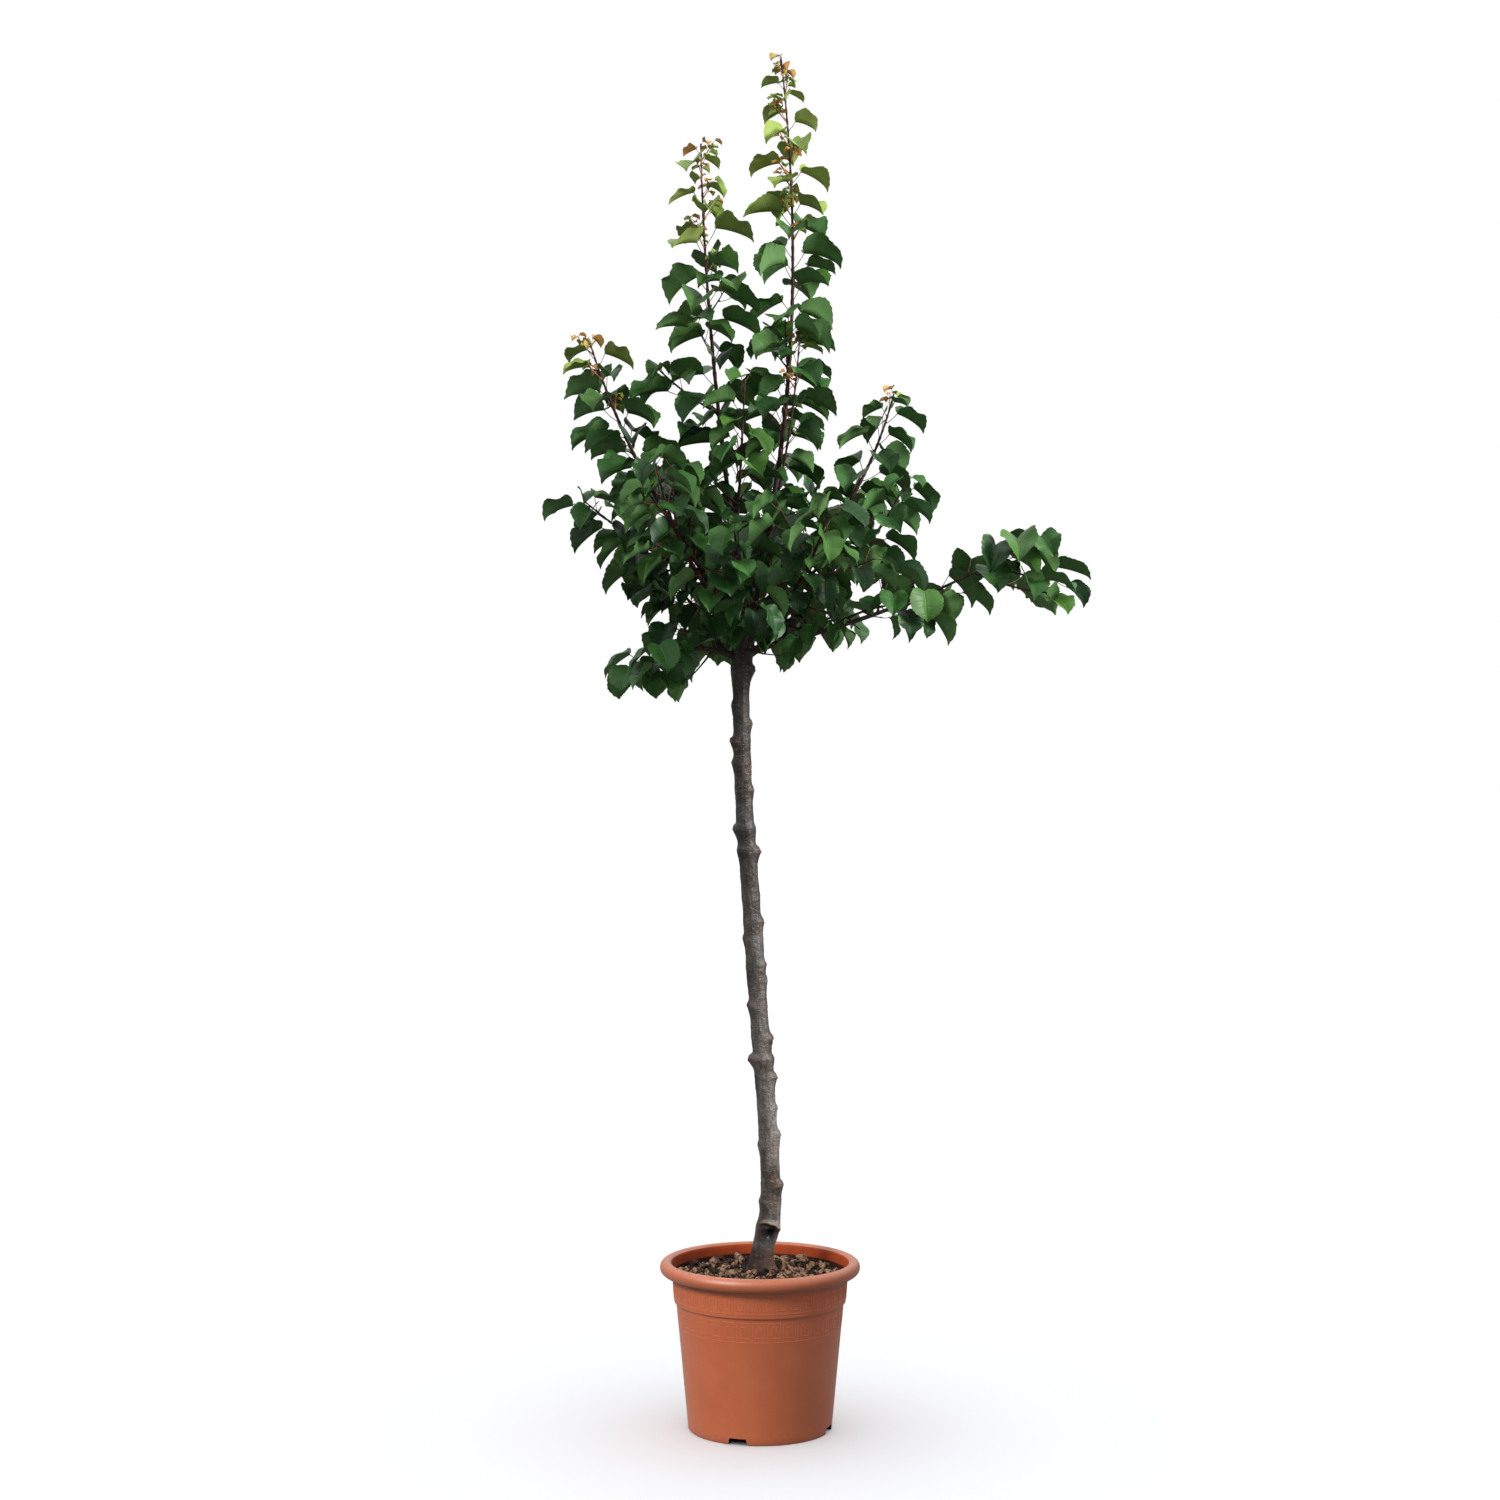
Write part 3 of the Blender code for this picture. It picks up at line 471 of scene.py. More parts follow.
# %% [markdown]
# ## The pot
#
# The pot is moulded in terracotta-coloured plastic: a tapered body with thin walls, a collar that
# stands out by a small step, and a rolled lip. It is a turned shape, so a profile and a Screw
# modifier make it, with enough steps that the rim looks round. The lip's underside curls in
# behind it, which gives the dark line under the rim. Drain notches are cut in the foot by a
# Boolean, as a mould would leave them.

# %% The pot's sizes, in metres
POT_HEIGHT = 0.333
POT_STEPS = 144
WALL = 0.003
FLOOR_THICKNESS = 0.004
FOOT_RADIUS = 0.1435
BODY_TOP_RADIUS = 0.1672
COLLAR_Z = 0.252
COLLAR_STEP = 0.0025
COLLAR_RADIUS = 0.1715
COLLAR_TOP_RADIUS = 0.1750
LIP_RADIUS = 0.200
LIP_HALF_WIDTH = 0.013
LIP_HALF_HEIGHT = 0.0135
LIP_UNDERSIDE_Z = 0.309
LIP_TUCK = (0.0006, 0.0015)
LIP_ARC = (160, -118)
LIP_POINTS = 22
ROUNDING = 0.0012
NOTCH_COUNT = 4
NOTCH_FIRST_BEARING = -108
NOTCH_WIDTHS = (0.044, 0.034)
NOTCH_HEIGHT = 0.012
NOTCH_RADII = (0.122, 0.160)
BODY_SLOPE = (BODY_TOP_RADIUS - FOOT_RADIUS) / (COLLAR_Z - COLLAR_STEP)
RING_OVER_NOTCHES = 0.016
SAME_PLACE = 1e-5


# %% The pot's profile, down its outer side
def rounded_corner(before, corner, after, size):
    """Three points in place of a corner of the profile."""
    before, corner, after = (np.array(point) for point in (before, corner, after))
    first = corner + (before - corner) / np.linalg.norm(before - corner) * size
    last = corner + (after - corner) / np.linalg.norm(after - corner) * size
    return [first, (first + last + 2 * corner) / 4, last]


def lip_points():
    """The rolled lip, from its inner side over the top to where it curls in below."""
    for i in range(LIP_POINTS + 1):
        angle = math.radians(LIP_ARC[0] + (LIP_ARC[1] - LIP_ARC[0]) * i / LIP_POINTS)
        radius = LIP_RADIUS - LIP_HALF_WIDTH + LIP_HALF_WIDTH * math.cos(angle)
        yield radius, POT_HEIGHT - LIP_HALF_HEIGHT + LIP_HALF_HEIGHT * math.sin(angle)


inner_side = [
    (BODY_TOP_RADIUS - WALL, COLLAR_Z - COLLAR_STEP),
    (COLLAR_RADIUS - WALL, COLLAR_Z + COLLAR_STEP),
    (COLLAR_TOP_RADIUS - WALL, LIP_UNDERSIDE_Z),
]
outer_corners = [
    (COLLAR_TOP_RADIUS + LIP_TUCK[0], LIP_UNDERSIDE_Z + LIP_TUCK[1]),
    (COLLAR_RADIUS, COLLAR_Z),
    (BODY_TOP_RADIUS, COLLAR_Z - COLLAR_STEP),
    (FOOT_RADIUS + BODY_SLOPE * RING_OVER_NOTCHES, RING_OVER_NOTCHES),
    (FOOT_RADIUS, 0),
    (0, 0),
]
outer_side = [outer_corners[0]]
for i in range(1, len(outer_corners) - 1):
    outer_side += rounded_corner(*outer_corners[i - 1:i + 2], ROUNDING)
outer_side.append(outer_corners[-1])
floor_points = [(0, FLOOR_THICKNESS), (FOOT_RADIUS - WALL, FLOOR_THICKNESS)]
pot_outline = floor_points + inner_side + list(lip_points()) + outer_side
print("pot profile:", len(pot_outline), "points")


# %% Turning the pot and cutting its notches
def turned(name, outline, steps):
    """An outline of (radius, height) points turned about the Z axis, as a mesh object."""
    mesh = bpy.data.meshes.new(name)
    edges = [(i, i + 1) for i in range(len(outline) - 1)]
    mesh.from_pydata([(radius, 0, z) for radius, z in outline], edges, [])
    obj = bpy.data.objects.new(name, mesh)
    bpy.context.scene.collection.objects.link(obj)
    screw = obj.modifiers.new("turn", "SCREW")
    screw.steps = screw.render_steps = steps
    screw.use_merge_vertices = True
    screw.merge_threshold = SAME_PLACE
    return obj


def notch(bearing):
    """A cutter for one drain notch, narrower at its top."""
    inner, outer = NOTCH_RADII
    work = bmesh.new()
    bmesh.ops.create_cube(work, size=1)
    for vert in work.verts:
        top = vert.co.z > 0
        vert.co.x = (vert.co.x + 0.5) * (outer - inner) + inner
        vert.co.y *= NOTCH_WIDTHS[top]
        vert.co.z = NOTCH_HEIGHT if top else -NOTCH_HEIGHT
    mesh = bpy.data.meshes.new("notch")
    work.to_mesh(mesh)
    work.free()
    obj = bpy.data.objects.new("notch", mesh)
    obj.rotation_euler.z = math.radians(bearing)
    bpy.context.scene.collection.objects.link(obj)
    return obj


def apply_all(obj):
    """Turns what the modifiers make into the object's own mesh."""
    bpy.context.view_layer.update()
    seen = obj.evaluated_get(bpy.context.evaluated_depsgraph_get())
    mesh = bpy.data.meshes.new_from_object(seen)
    obj.modifiers.clear()
    obj.data = mesh


# %% The pot's shell
POT_CREASE = 38

pot = turned("pot_shell", pot_outline, POT_STEPS)
notches = [notch(NOTCH_FIRST_BEARING + i * 360 / NOTCH_COUNT) for i in range(NOTCH_COUNT)]
for cutter in notches:
    modifier = pot.modifiers.new("cut", "BOOLEAN")
    modifier.operation = "DIFFERENCE"
    modifier.object = cutter
apply_all(pot)
for cutter in notches:
    bpy.data.objects.remove(cutter, do_unlink=True)
pot.data.shade_smooth()
pot.data.set_sharp_from_angle(angle=math.radians(POT_CREASE))
print("pot:", len(pot.data.polygons), "faces with", NOTCH_COUNT, "notches")

# %% [markdown]
# ## The moulded key pattern
#
# A faint Greek key runs round the collar, and a second, larger one round the body just below it.
# It is moulded in and less than a millimetre high, so it shows mostly where light grazes it.
# A bump texture could fake it, but ribs of real geometry keep their edge highlights from any side.
# Each rib is a bar with slanted sides that follows one stroke of the key round the wall. The
# ribs are a little paler than the wall, partly from rubbing and partly as a painted highlight.

# %% A rib on the wall
RIB_FOOT = 0.0010
RIB_TOP = 0.0005
RIB_STEP = 0.006
RIB_SUNK = 0.0003


def wall_radius(z):
    """The radius of the pot's outer wall at a height."""
    heights = [0, COLLAR_Z - COLLAR_STEP, COLLAR_Z, LIP_UNDERSIDE_Z]
    radii = [FOOT_RADIUS, BODY_TOP_RADIUS, COLLAR_RADIUS, COLLAR_TOP_RADIUS]
    return float(np.interp(z, heights, radii))


def rib(start, end, depth):
    """A bar on the wall from one (bearing, height) to another, with its ends run on."""
    start, end = np.array(start), np.array(end)
    reach = wall_radius(start[1])
    scale = np.array([reach, 1.0])
    length = np.linalg.norm((end - start) * scale)
    run = (end - start) * scale / length
    across = np.array([-run[1], run[0]])
    steps = max(1, round(length / RIB_STEP))
    section = [(-RIB_FOOT, -RIB_SUNK), (-RIB_TOP, depth), (RIB_TOP, depth), (RIB_FOOT, -RIB_SUNK)]
    sides = len(section)
    corners = []
    for i in range(steps + 1):
        middle = start * scale + run * (length * i / steps + (RIB_TOP if i == steps else 0))
        if i == 0:
            middle = middle - run * RIB_TOP
        for offset, out in section:
            bearing, z = (middle + across * offset) / scale
            radius = wall_radius(z) + out
            corners.append((radius * math.cos(bearing), radius * math.sin(bearing), z))
    faces = []
    for i in range(steps):
        here, ahead = sides * i, sides * (i + 1)
        for j in range(sides):
            k = (j + 1) % sides
            faces.append((here + j, here + k, ahead + k, ahead + j))
    last = sides * steps
    faces += [tuple(reversed(range(sides))), tuple(range(last, last + sides))]
    return np.array(corners), faces


# %% Two bands of keys
KEY_STROKES = [
    ((0, 0), (7, 0)),
    ((0, 0), (0, 7)),
    ((0, 7), (5.6, 7)),
    ((5.6, 7), (5.6, 1.6)),
    ((5.6, 1.6), (1.6, 1.6)),
    ((1.6, 1.6), (1.6, 5.4)),
    ((1.6, 5.4), (4.0, 5.4)),
    ((4.0, 5.4), (4.0, 3.4)),
]
KEY_CELLS = 7
BANDS = [
    {"foot": 0.2605, "cell": 0.0047, "count": 40, "depth": 0.0008},
    {"foot": 0.2040, "cell": 0.0055, "count": 34, "depth": 0.0003},
]


def key_band(foot, cell, count, depth):
    """The ribs of a band of keys, with its foot at a height and a cell of this height."""
    turn = 2 * math.pi / count / KEY_CELLS
    for i in range(count):
        for (x0, z0), (x1, z1) in KEY_STROKES:
            start = ((i * KEY_CELLS + x0) * turn, foot + z0 * cell)
            end = ((i * KEY_CELLS + x1) * turn, foot + z1 * cell)
            yield rib(start, end, depth)


ribs = [piece for band in BANDS for piece in key_band(**band)]
print("ribs:", len(ribs))

# %% [markdown]
# ## The plastic
#
# Terracotta plastic is a warm orange brown with a satin sheen and a very fine moulded grain. It
# is slightly uneven in tone, and soil dust clings to its foot. A coat isn't needed: the base
# layer's roughness of about one half gives the broad soft highlight on the lip. The lip is
# painted a little deeper in tone, as painted shade. The inner wall is painted darker, as painted
# shade, and is duller, and a near-black band of painted shadow runs along it just above the mix's
# level. One mesh can take all of these finishes, because each of its faces holds the number of one.

# %% Terracotta plastic
PLASTIC = srgb(186, 95, 53)
PLASTIC_DEEP = srgb(174, 85, 45)
# The lip's two tones are darker than the body's: painted shade.
LIP_SHADED_TONE = srgb(168, 86, 46)
LIP_SHADED_DEEP = srgb(158, 78, 41)
# The ribs' paler tone: partly rubbed wear, partly a painted highlight.
RUBBED_AND_HIGHLIT = srgb(192, 104, 68)
DUST_TONE = srgb(184, 122, 86)
MOULD_SCALE = 1400
MOULD_DEPTH = 0.00012


def mould_grain(tree, shader):
    """The very fine grain that the mould leaves all over the pot."""
    moulded = place_group(tree, grain, Scale=MOULD_SCALE, Coarse=0.8)
    raise_bump(tree, shader, moulded["Height"], MOULD_DEPTH)


def dusty_plastic(name, tone, deep):
    """Terracotta plastic with dust on its foot and on what faces up."""
    made, tree, shader = new_material(name, 0.47, gloss=0.9)
    shader.inputs["Sheen Weight"].default_value = 0.16
    shader.inputs["Sheen Roughness"].default_value = 0.45
    uneven = place_group(tree, blotches, First=tone, Second=deep, Scale=9, Amount=0.6)
    dusty = place_group(
        tree, dust, Clean=uneven["Colour"], Dusty=DUST_TONE,
        Level=0.0, Reach=0.035, Low_Amount=0.15, Top_Amount=0.25,
    )
    tree.links.new(dusty["Colour"], shader.inputs["Base Color"])
    mould_grain(tree, shader)
    return made


pot_plastic = dusty_plastic("terracotta_plastic", PLASTIC, PLASTIC_DEEP)
shaded_lip_plastic = dusty_plastic("painted_shade_lip_plastic", LIP_SHADED_TONE, LIP_SHADED_DEEP)

rubbed_and_highlit_plastic, tree, shader = new_material("rubbed_and_highlit_plastic", 0.42)
tone = place_group(tree, blotches, First=RUBBED_AND_HIGHLIT, Second=PLASTIC, Scale=24, Amount=0.8)
tree.links.new(tone["Colour"], shader.inputs["Base Color"])
mould_grain(tree, shader)

# %% The inner wall's painted shade, and a band of painted shadow at the mix's level
SOIL_LINE_SHADOW_FADES = (0.3120, 0.3095)
SOIL_LINE_SHADOW_STRENGTH = 0.95
SOIL_LINE_SHADOW = srgb(26, 20, 18)

shaded_inner_plastic, tree, shader = new_material("shaded_inner_plastic", 0.7, gloss=0.15)
# The inner wall's two tones are darker than the outer plastic: painted shade.
tone = place_group(
    tree, blotches, First=srgb(146, 58, 21), Second=srgb(120, 44, 17), Scale=14, Amount=0.8,
)
# A near-black band just above the mix's level: painted shadow.
soil_line_shadow_mask = maths(tree, "MULTIPLY", ramp(tree, own_height(tree), *SOIL_LINE_SHADOW_FADES), SOIL_LINE_SHADOW_STRENGTH)
shadowed_wall = mixed(tree, soil_line_shadow_mask, tone["Colour"], SOIL_LINE_SHADOW)
tree.links.new(shadowed_wall, shader.inputs["Base Color"])
mould_grain(tree, shader)

# %% Which faces of the pot take which finish
# Faces of the inner wall below this height take the finish with painted shade.
INNER_SHADE_BELOW_Z = 0.3300
INNER_LIP_RADIUS = 0.1850
OUTSIDE, LIP, INSIDE = 0, 1, 2

pot.data.materials.clear()
for finish in (pot_plastic, shaded_lip_plastic, shaded_inner_plastic):
    pot.data.materials.append(finish)
for face in pot.data.polygons:
    reach, z = math.hypot(face.center.x, face.center.y), face.center.z
    inner_radius = INNER_LIP_RADIUS if z > LIP_UNDERSIDE_Z else wall_radius(z) - WALL / 2
    if reach < inner_radius and z < INNER_SHADE_BELOW_Z:
        face.material_index = INSIDE
    else:
        face.material_index = LIP if z > LIP_UNDERSIDE_Z else OUTSIDE
settle(pot, "terracotta_plastic", "pot")
key_pattern = joined("pot_key_pattern", ribs, [rubbed_and_highlit_plastic], creased=True)
settle(key_pattern, "terracotta_plastic", "pot")

# %% [markdown]
# ## The potting mix
#
# The pot is filled to two centimetres below its rim with dark compost, covered by lumps of bark
# and pumice from a few millimetres to two centimetres across. The compost is a round grid whose
# corners noise lifts and lowers, and it falls away at the wall, where the photograph shows a dark
# gap. A particle system could scatter the lumps, but the export drops particles, so they are
# joined meshes, dealt out by a seeded rule. Where a spot is crowded already, a new lump is
# smaller and lies higher, on those below it. Noise pushes its corners in and out, and spins and
# tilts it, so no two are alike. All of the mix is dull, because its pores swallow reflections.

# %% The surface of the compost
SOIL_Z = 0.3115
SOIL_RADIUS = 0.1712
SOIL_ROUGHNESS = 0.0032
SOIL_FALL_WIDTH = 0.022
SOIL_FALL = 0.011
MOUND_RADIUS = 0.044
MOUND_RISE = 0.013
SOIL_SETTLED = 0.006
WAVE_SCALE = 28
CLOD_SCALE = 90
CLOD_SHARE = 0.6
WAVE_LAYER, CLOD_LAYER, CRUMB_LAYER = 3.1, 7.7, 1.3


def soil_noise(x, y, scale, layer):
    """Smooth noise over the compost. Each layer is a slice of its own, so no two agree."""
    return noise.noise(Vector((x * scale, y * scale, layer)))


def soil_height(x, y):
    """The height of the compost's surface, without its finest lumps."""
    radius = math.hypot(x, y)
    wave = soil_noise(x, y, WAVE_SCALE, WAVE_LAYER) * SOIL_ROUGHNESS
    clod = soil_noise(x, y, CLOD_SCALE, CLOD_LAYER) * SOIL_ROUGHNESS * CLOD_SHARE
    edge = max(0, radius - (SOIL_RADIUS - SOIL_FALL_WIDTH)) / SOIL_FALL_WIDTH
    mound = MOUND_RISE * math.exp(-((radius / MOUND_RADIUS) ** 4))
    return SOIL_Z - SOIL_SETTLED + wave + clod + mound - SOIL_FALL * edge**2


# %% The compost as a closed mesh
SOIL_RINGS = 44
SOIL_SIDES = 128
CRUMB_SCALE = 260
CRUMB_HEIGHT = 0.0016
SOIL_FOOT_SHARE = 0.97

soil_corners = [(0, 0, soil_height(0, 0))]
for i in range(1, SOIL_RINGS + 1):
    radius = SOIL_RADIUS * i / SOIL_RINGS
    for j in range(SOIL_SIDES):
        angle = 2 * math.pi * j / SOIL_SIDES
        x, y = radius * math.cos(angle), radius * math.sin(angle)
        crumb = soil_noise(x, y, CRUMB_SCALE, CRUMB_LAYER) * CRUMB_HEIGHT
        soil_corners.append((x, y, soil_height(x, y) + crumb))
soil_faces = [(0, 1 + j, 1 + (j + 1) % SOIL_SIDES) for j in range(SOIL_SIDES)]
for i in range(SOIL_RINGS - 1):
    for j in range(SOIL_SIDES):
        k = (j + 1) % SOIL_SIDES
        near, far = 1 + i * SOIL_SIDES, 1 + (i + 1) * SOIL_SIDES
        soil_faces.append((near + j, far + j, far + k, near + k))
rim = 1 + (SOIL_RINGS - 1) * SOIL_SIDES
under = len(soil_corners)
soil_corners += [
    (SOIL_FOOT_SHARE * x, SOIL_FOOT_SHARE * y, COLLAR_Z) for x, y, _ in soil_corners[rim:]
]
soil_faces += [
    (rim + j, under + j, under + (j + 1) % SOIL_SIDES, rim + (j + 1) % SOIL_SIDES)
    for j in range(SOIL_SIDES)
]
soil_faces.append(tuple(reversed(range(under, under + SOIL_SIDES))))
print("compost:", len(soil_corners), "corners")

# %% The compost's finish
MIX_GLOSS = 0.2

compost, tree, shader = new_material("compost", 0.95, gloss=MIX_GLOSS)
tone = place_group(
    tree, blotches, First=srgb(18, 11, 8), Second=srgb(34, 22, 15), Scale=70, Amount=0.8,
)
fibre = place_group(tree, spots, Scale=420, Size=0.42, Cover=0.25)
flecked = mixed(tree, fibre["Mask"], tone["Colour"], srgb(68, 47, 35))
tree.links.new(flecked, shader.inputs["Base Color"])
crumbs = place_group(tree, grain, Scale=700, Coarse=1.5)
raise_bump(tree, shader, crumbs["Height"], 0.0012)
soil = joined("potting_mix", [(np.array(soil_corners), soil_faces)], [compost])
settle(soil, "potting_mix", "soil")


# %% One lump of bark or pumice
LUMP_LENGTHS = (0.75, 1.3)
LUMP_BREADTHS = (0.6, 1.0)
LUMP_TILT = 0.35
BULGE_SCALE = 1.5
BULGE_SIZE = 0.6
PIT_SCALE = 3.8
PIT_SIZE = 0.4
FAR_APART = 50


def lump(chance, place, size, flatness, facets):
    """A rough stone or chip: a ball whose corners are pushed in and out, then flattened."""
    work = bmesh.new()
    bmesh.ops.create_icosphere(work, subdivisions=facets, radius=1)
    shift = Vector([chance.uniform(-FAR_APART, FAR_APART) for _ in range(3)])
    stretch = Vector((chance.uniform(*LUMP_LENGTHS), chance.uniform(*LUMP_BREADTHS), flatness))
    spin = Matrix.Rotation(chance.uniform(0, 2 * math.pi), 3, "Z")
    tilt = Matrix.Rotation(chance.gauss(0, LUMP_TILT), 3, "X")
    tilt = tilt @ Matrix.Rotation(chance.gauss(0, LUMP_TILT), 3, "Y")
    corners = []
    for vert in work.verts:
        rough = 1 + BULGE_SIZE * noise.noise(vert.co * BULGE_SCALE + shift)
        rough += PIT_SIZE * noise.noise(vert.co * PIT_SCALE + shift)
        shaped = Vector([vert.co[k] * rough * stretch[k] for k in range(3)])
        corners.append(place + spin @ (tilt @ shaped) * size)
    faces = [tuple(vert.index for vert in face.verts) for face in work.faces]
    work.free()
    return np.array(corners), faces


# %% Dealing the lumps out
LUMP_KINDS = {
    "pumice_lumps": {"count": 240, "sizes": (0.0030, 0.0125), "flatness": 0.8},
    "bark_lumps": {"count": 240, "sizes": (0.0034, 0.0115), "flatness": 0.55},
    "crumb_lumps": {"count": 900, "sizes": (0.0012, 0.0034), "flatness": 0.8},
}
TRUNK_CLEAR = 0.028
LUMP_REACH = 0.158
CROWDING = 0.8
CROWDED_SIZE = 0.6
LUMP_RISE = 0.10
CROWDED_RISE = 0.40
LARGE_LUMP = 0.003

lumps = {}
taken = []
for kind, rule in LUMP_KINDS.items():
    chance = random.Random(kind)
    lumps[kind] = []
    while len(lumps[kind]) < rule["count"]:
        radius = LUMP_REACH * math.sqrt(chance.uniform((TRUNK_CLEAR / LUMP_REACH) ** 2, 1))
        angle = chance.uniform(0, 2 * math.pi)
        smallest, largest = rule["sizes"]
        size = smallest + (largest - smallest) * chance.random() ** 2
        x, y = radius * math.cos(angle), radius * math.sin(angle)
        crowd = sum(
            1 for px, py, other in taken if math.hypot(px - x, py - y) < (other + size) * CROWDING
        )
        if crowd > 1:
            size *= CROWDED_SIZE
        taken.append((x, y, size))
        rise = size * (LUMP_RISE + CROWDED_RISE * min(crowd, 2))
        place = Vector((x, y, soil_height(x, y) + rise))
        facets = 2 if size > LARGE_LUMP else 1
        lumps[kind].append(lump(chance, place, size, rule["flatness"], facets))
print("lumps:", {kind: len(own) for kind, own in lumps.items()})

# %% The lumps' finishes
LUMP_CREASE = 42

pumice, tree, shader = new_material("pumice", 0.9, gloss=MIX_GLOSS)
tone = place_group(
    tree, blotches, First=srgb(152, 118, 92), Second=srgb(28, 17, 12), Scale=120, Amount=1.0,
)
tree.links.new(tone["Colour"], shader.inputs["Base Color"])
pores = place_group(tree, grain, Scale=900, Coarse=1.0)
raise_bump(tree, shader, pores["Height"], 0.0006)

bark_chip, tree, shader = new_material("bark_chip", 0.85, gloss=MIX_GLOSS)
tone = place_group(
    tree, blotches, First=srgb(54, 34, 24), Second=srgb(16, 10, 7), Scale=110, Amount=0.9,
)
tree.links.new(tone["Colour"], shader.inputs["Base Color"])
fibres = place_group(tree, grain, Scale=800, Coarse=1.2, Stretch=(1, 1, 0.3))
raise_bump(tree, shader, fibres["Height"], 0.0006)

LUMP_FINISH = {"pumice_lumps": pumice, "bark_lumps": bark_chip, "crumb_lumps": compost}
for kind, chunks in lumps.items():
    piece = joined(kind, chunks, [LUMP_FINISH[kind]])
    piece.data.set_sharp_from_angle(angle=math.radians(LUMP_CREASE))
    settle(piece, "potting_mix", "soil")

# %% [markdown]
# ## The trunk
#
# A young apricot stem is grey brown, smooth between its knots, and marked with level rows of
# pinkish pores. Each knot is the healed place of a side shoot that was pruned away: a swelling
# with a small round scar in it. Near the foot, the bark bulges and bends where the tree was
# grafted, over a hollow that is painted dark with painted shade. At its head it swells, where the
# boughs leave it. The stem's axis and thickness are read at named heights, and a smooth curve joins
# them.

# %% The trunk's stations: height, to the right, to the back, radius
TRUNK_STATIONS = [
    (0.3123, 0.003, 0.000, 0.0330),
    (0.322, 0.002, 0.000, 0.0285),
    (0.335, 0.003, 0.000, 0.0250),
    (0.355, 0.006, 0.001, 0.0228),
    (0.384, 0.0135, 0.001, 0.0238),
    (0.402, 0.016, 0.000, 0.0240),
    (0.425, 0.020, -0.001, 0.0215),
    (0.452, 0.022, -0.002, 0.0203),
    (0.550, 0.0185, -0.003, 0.0192),
    (0.652, 0.012, -0.002, 0.0188),
    (0.852, -0.004, 0.002, 0.0185),
    (1.052, -0.018, 0.004, 0.0182),
    (1.252, -0.032, 0.002, 0.0175),
    (1.452, -0.038, -0.002, 0.0165),
    (1.532, -0.036, -0.002, 0.0170),
    (1.600, -0.030, 0.000, 0.0185),
    (1.650, -0.024, 0.000, 0.0180),
    (1.676, -0.020, 0.000, 0.0135),
]
print("trunk from", TRUNK_STATIONS[0][0], "to", TRUNK_STATIONS[-1][0], "m")

# %% Knots: height, bearing (0 right, 180 left, 270 front), swell
KNOTS = [
    (0.402, 290, 0.0045),
    (0.452, 180, 0.0030),
    (0.486, 350, 0.0045),
    (0.564, 190, 0.0030),
    (0.586, 0, 0.0045),
    (0.638, 10, 0.0030),
    (0.700, 0, 0.0055),
    (0.736, 180, 0.0095),
    (0.778, 350, 0.0045),
    (0.843, 200, 0.0040),
    (0.894, 10, 0.0030),
    (0.924, 340, 0.0030),
    (0.976, 180, 0.0030),
    (1.010, 0, 0.0040),
    (1.060, 90, 0.0040),
    (1.152, 355, 0.0075),
    (1.196, 185, 0.0065),
    (1.274, 0, 0.0035),
    (1.328, 180, 0.0040),
    (1.372, 200, 0.0060),
    (1.406, 10, 0.0040),
    (1.444, 180, 0.0030),
    (1.514, 0, 0.0058),
]
print("knots:", len(KNOTS))


# %% The stem's curve
def polar(degrees):
    """The level direction at a bearing."""
    return Vector((math.cos(math.radians(degrees)), math.sin(math.radians(degrees)), 0))


def trunk_at(height):
    """The trunk's axis and radius at a height, smooth through its stations."""
    last = len(TRUNK_STATIONS) - 2
    i = max(k for k in range(last + 1) if k == 0 or TRUNK_STATIONS[k][0] <= height)
    low, high = TRUNK_STATIONS[i], TRUNK_STATIONS[i + 1]
    before, after = TRUNK_STATIONS[max(i - 1, 0)], TRUNK_STATIONS[min(i + 2, last + 1)]
    span = high[0] - low[0]
    share = (height - low[0]) / span

    def smooth(column):
        slope_low = (high[column] - before[column]) / (high[0] - before[0]) * span
        slope_high = (after[column] - low[column]) / (after[0] - low[0]) * span
        cube, square = share**3, share**2
        return (
            (2 * cube - 3 * square + 1) * low[column]
            + (cube - 2 * square + share) * slope_low
            + (3 * square - 2 * cube) * high[column]
            + (cube - square) * slope_high
        )

    return Vector((smooth(1), smooth(2), height)), smooth(3)


# %% [markdown]
# ## The trunk's relief
#
# Sculpting by hand would give one stem that can't be changed, and a displacement texture would
# blur the small scars. Here one function says, for a height and a bearing, how far the bark stands
# out. It adds up bell curves for the knots, their scars and the rings beside them, the ridge and
# the hollow of the graft, the swollen head, the lobes at the foot, and noise at three scales. It
# also says how dark, pale and red the bark is there, so its colour always fits its shape. At the
# graft, the darkness is painted shade and the ridge's paleness is a painted highlight.

# %% Relief of a knot's scar
SCAR_SIZE = (0.0026, 0.50)
SCAR_RAISED = 0.15
SCAR_FLATTENED = 1.15
SCAR_DEPTH = 0.45
SCAR_LIP = 0.25
SCAR_LIP_HALF = 0.3
SCAR_CORE = 1.3
SCAR_DARKNESS = 0.9
RED_RING = (0.6, 0.75, 0.95)


def bell(off, width, power=2):
    """1 at the middle of a bump, and near 0 further off than its width."""
    return math.exp(-((off / width) ** power))


def scar_relief(sideways, above, size):
    """A knot's scar: how deep it is, how high its lip is, and how dark and red it is."""
    scar = SCAR_SIZE[0] + size * SCAR_SIZE[1]
    off = math.hypot(sideways, (above - size * SCAR_RAISED) * SCAR_FLATTENED) / scar
    depth = SCAR_DEPTH * size * max(0, 1 - off**2)
    lip = SCAR_LIP * size * bell(off - 1, SCAR_LIP_HALF)
    dark = max(0, 1 - off * SCAR_CORE) * SCAR_DARKNESS
    red = bell(off - RED_RING[0], RED_RING[1]) * RED_RING[2]
    return depth, lip, dark, red


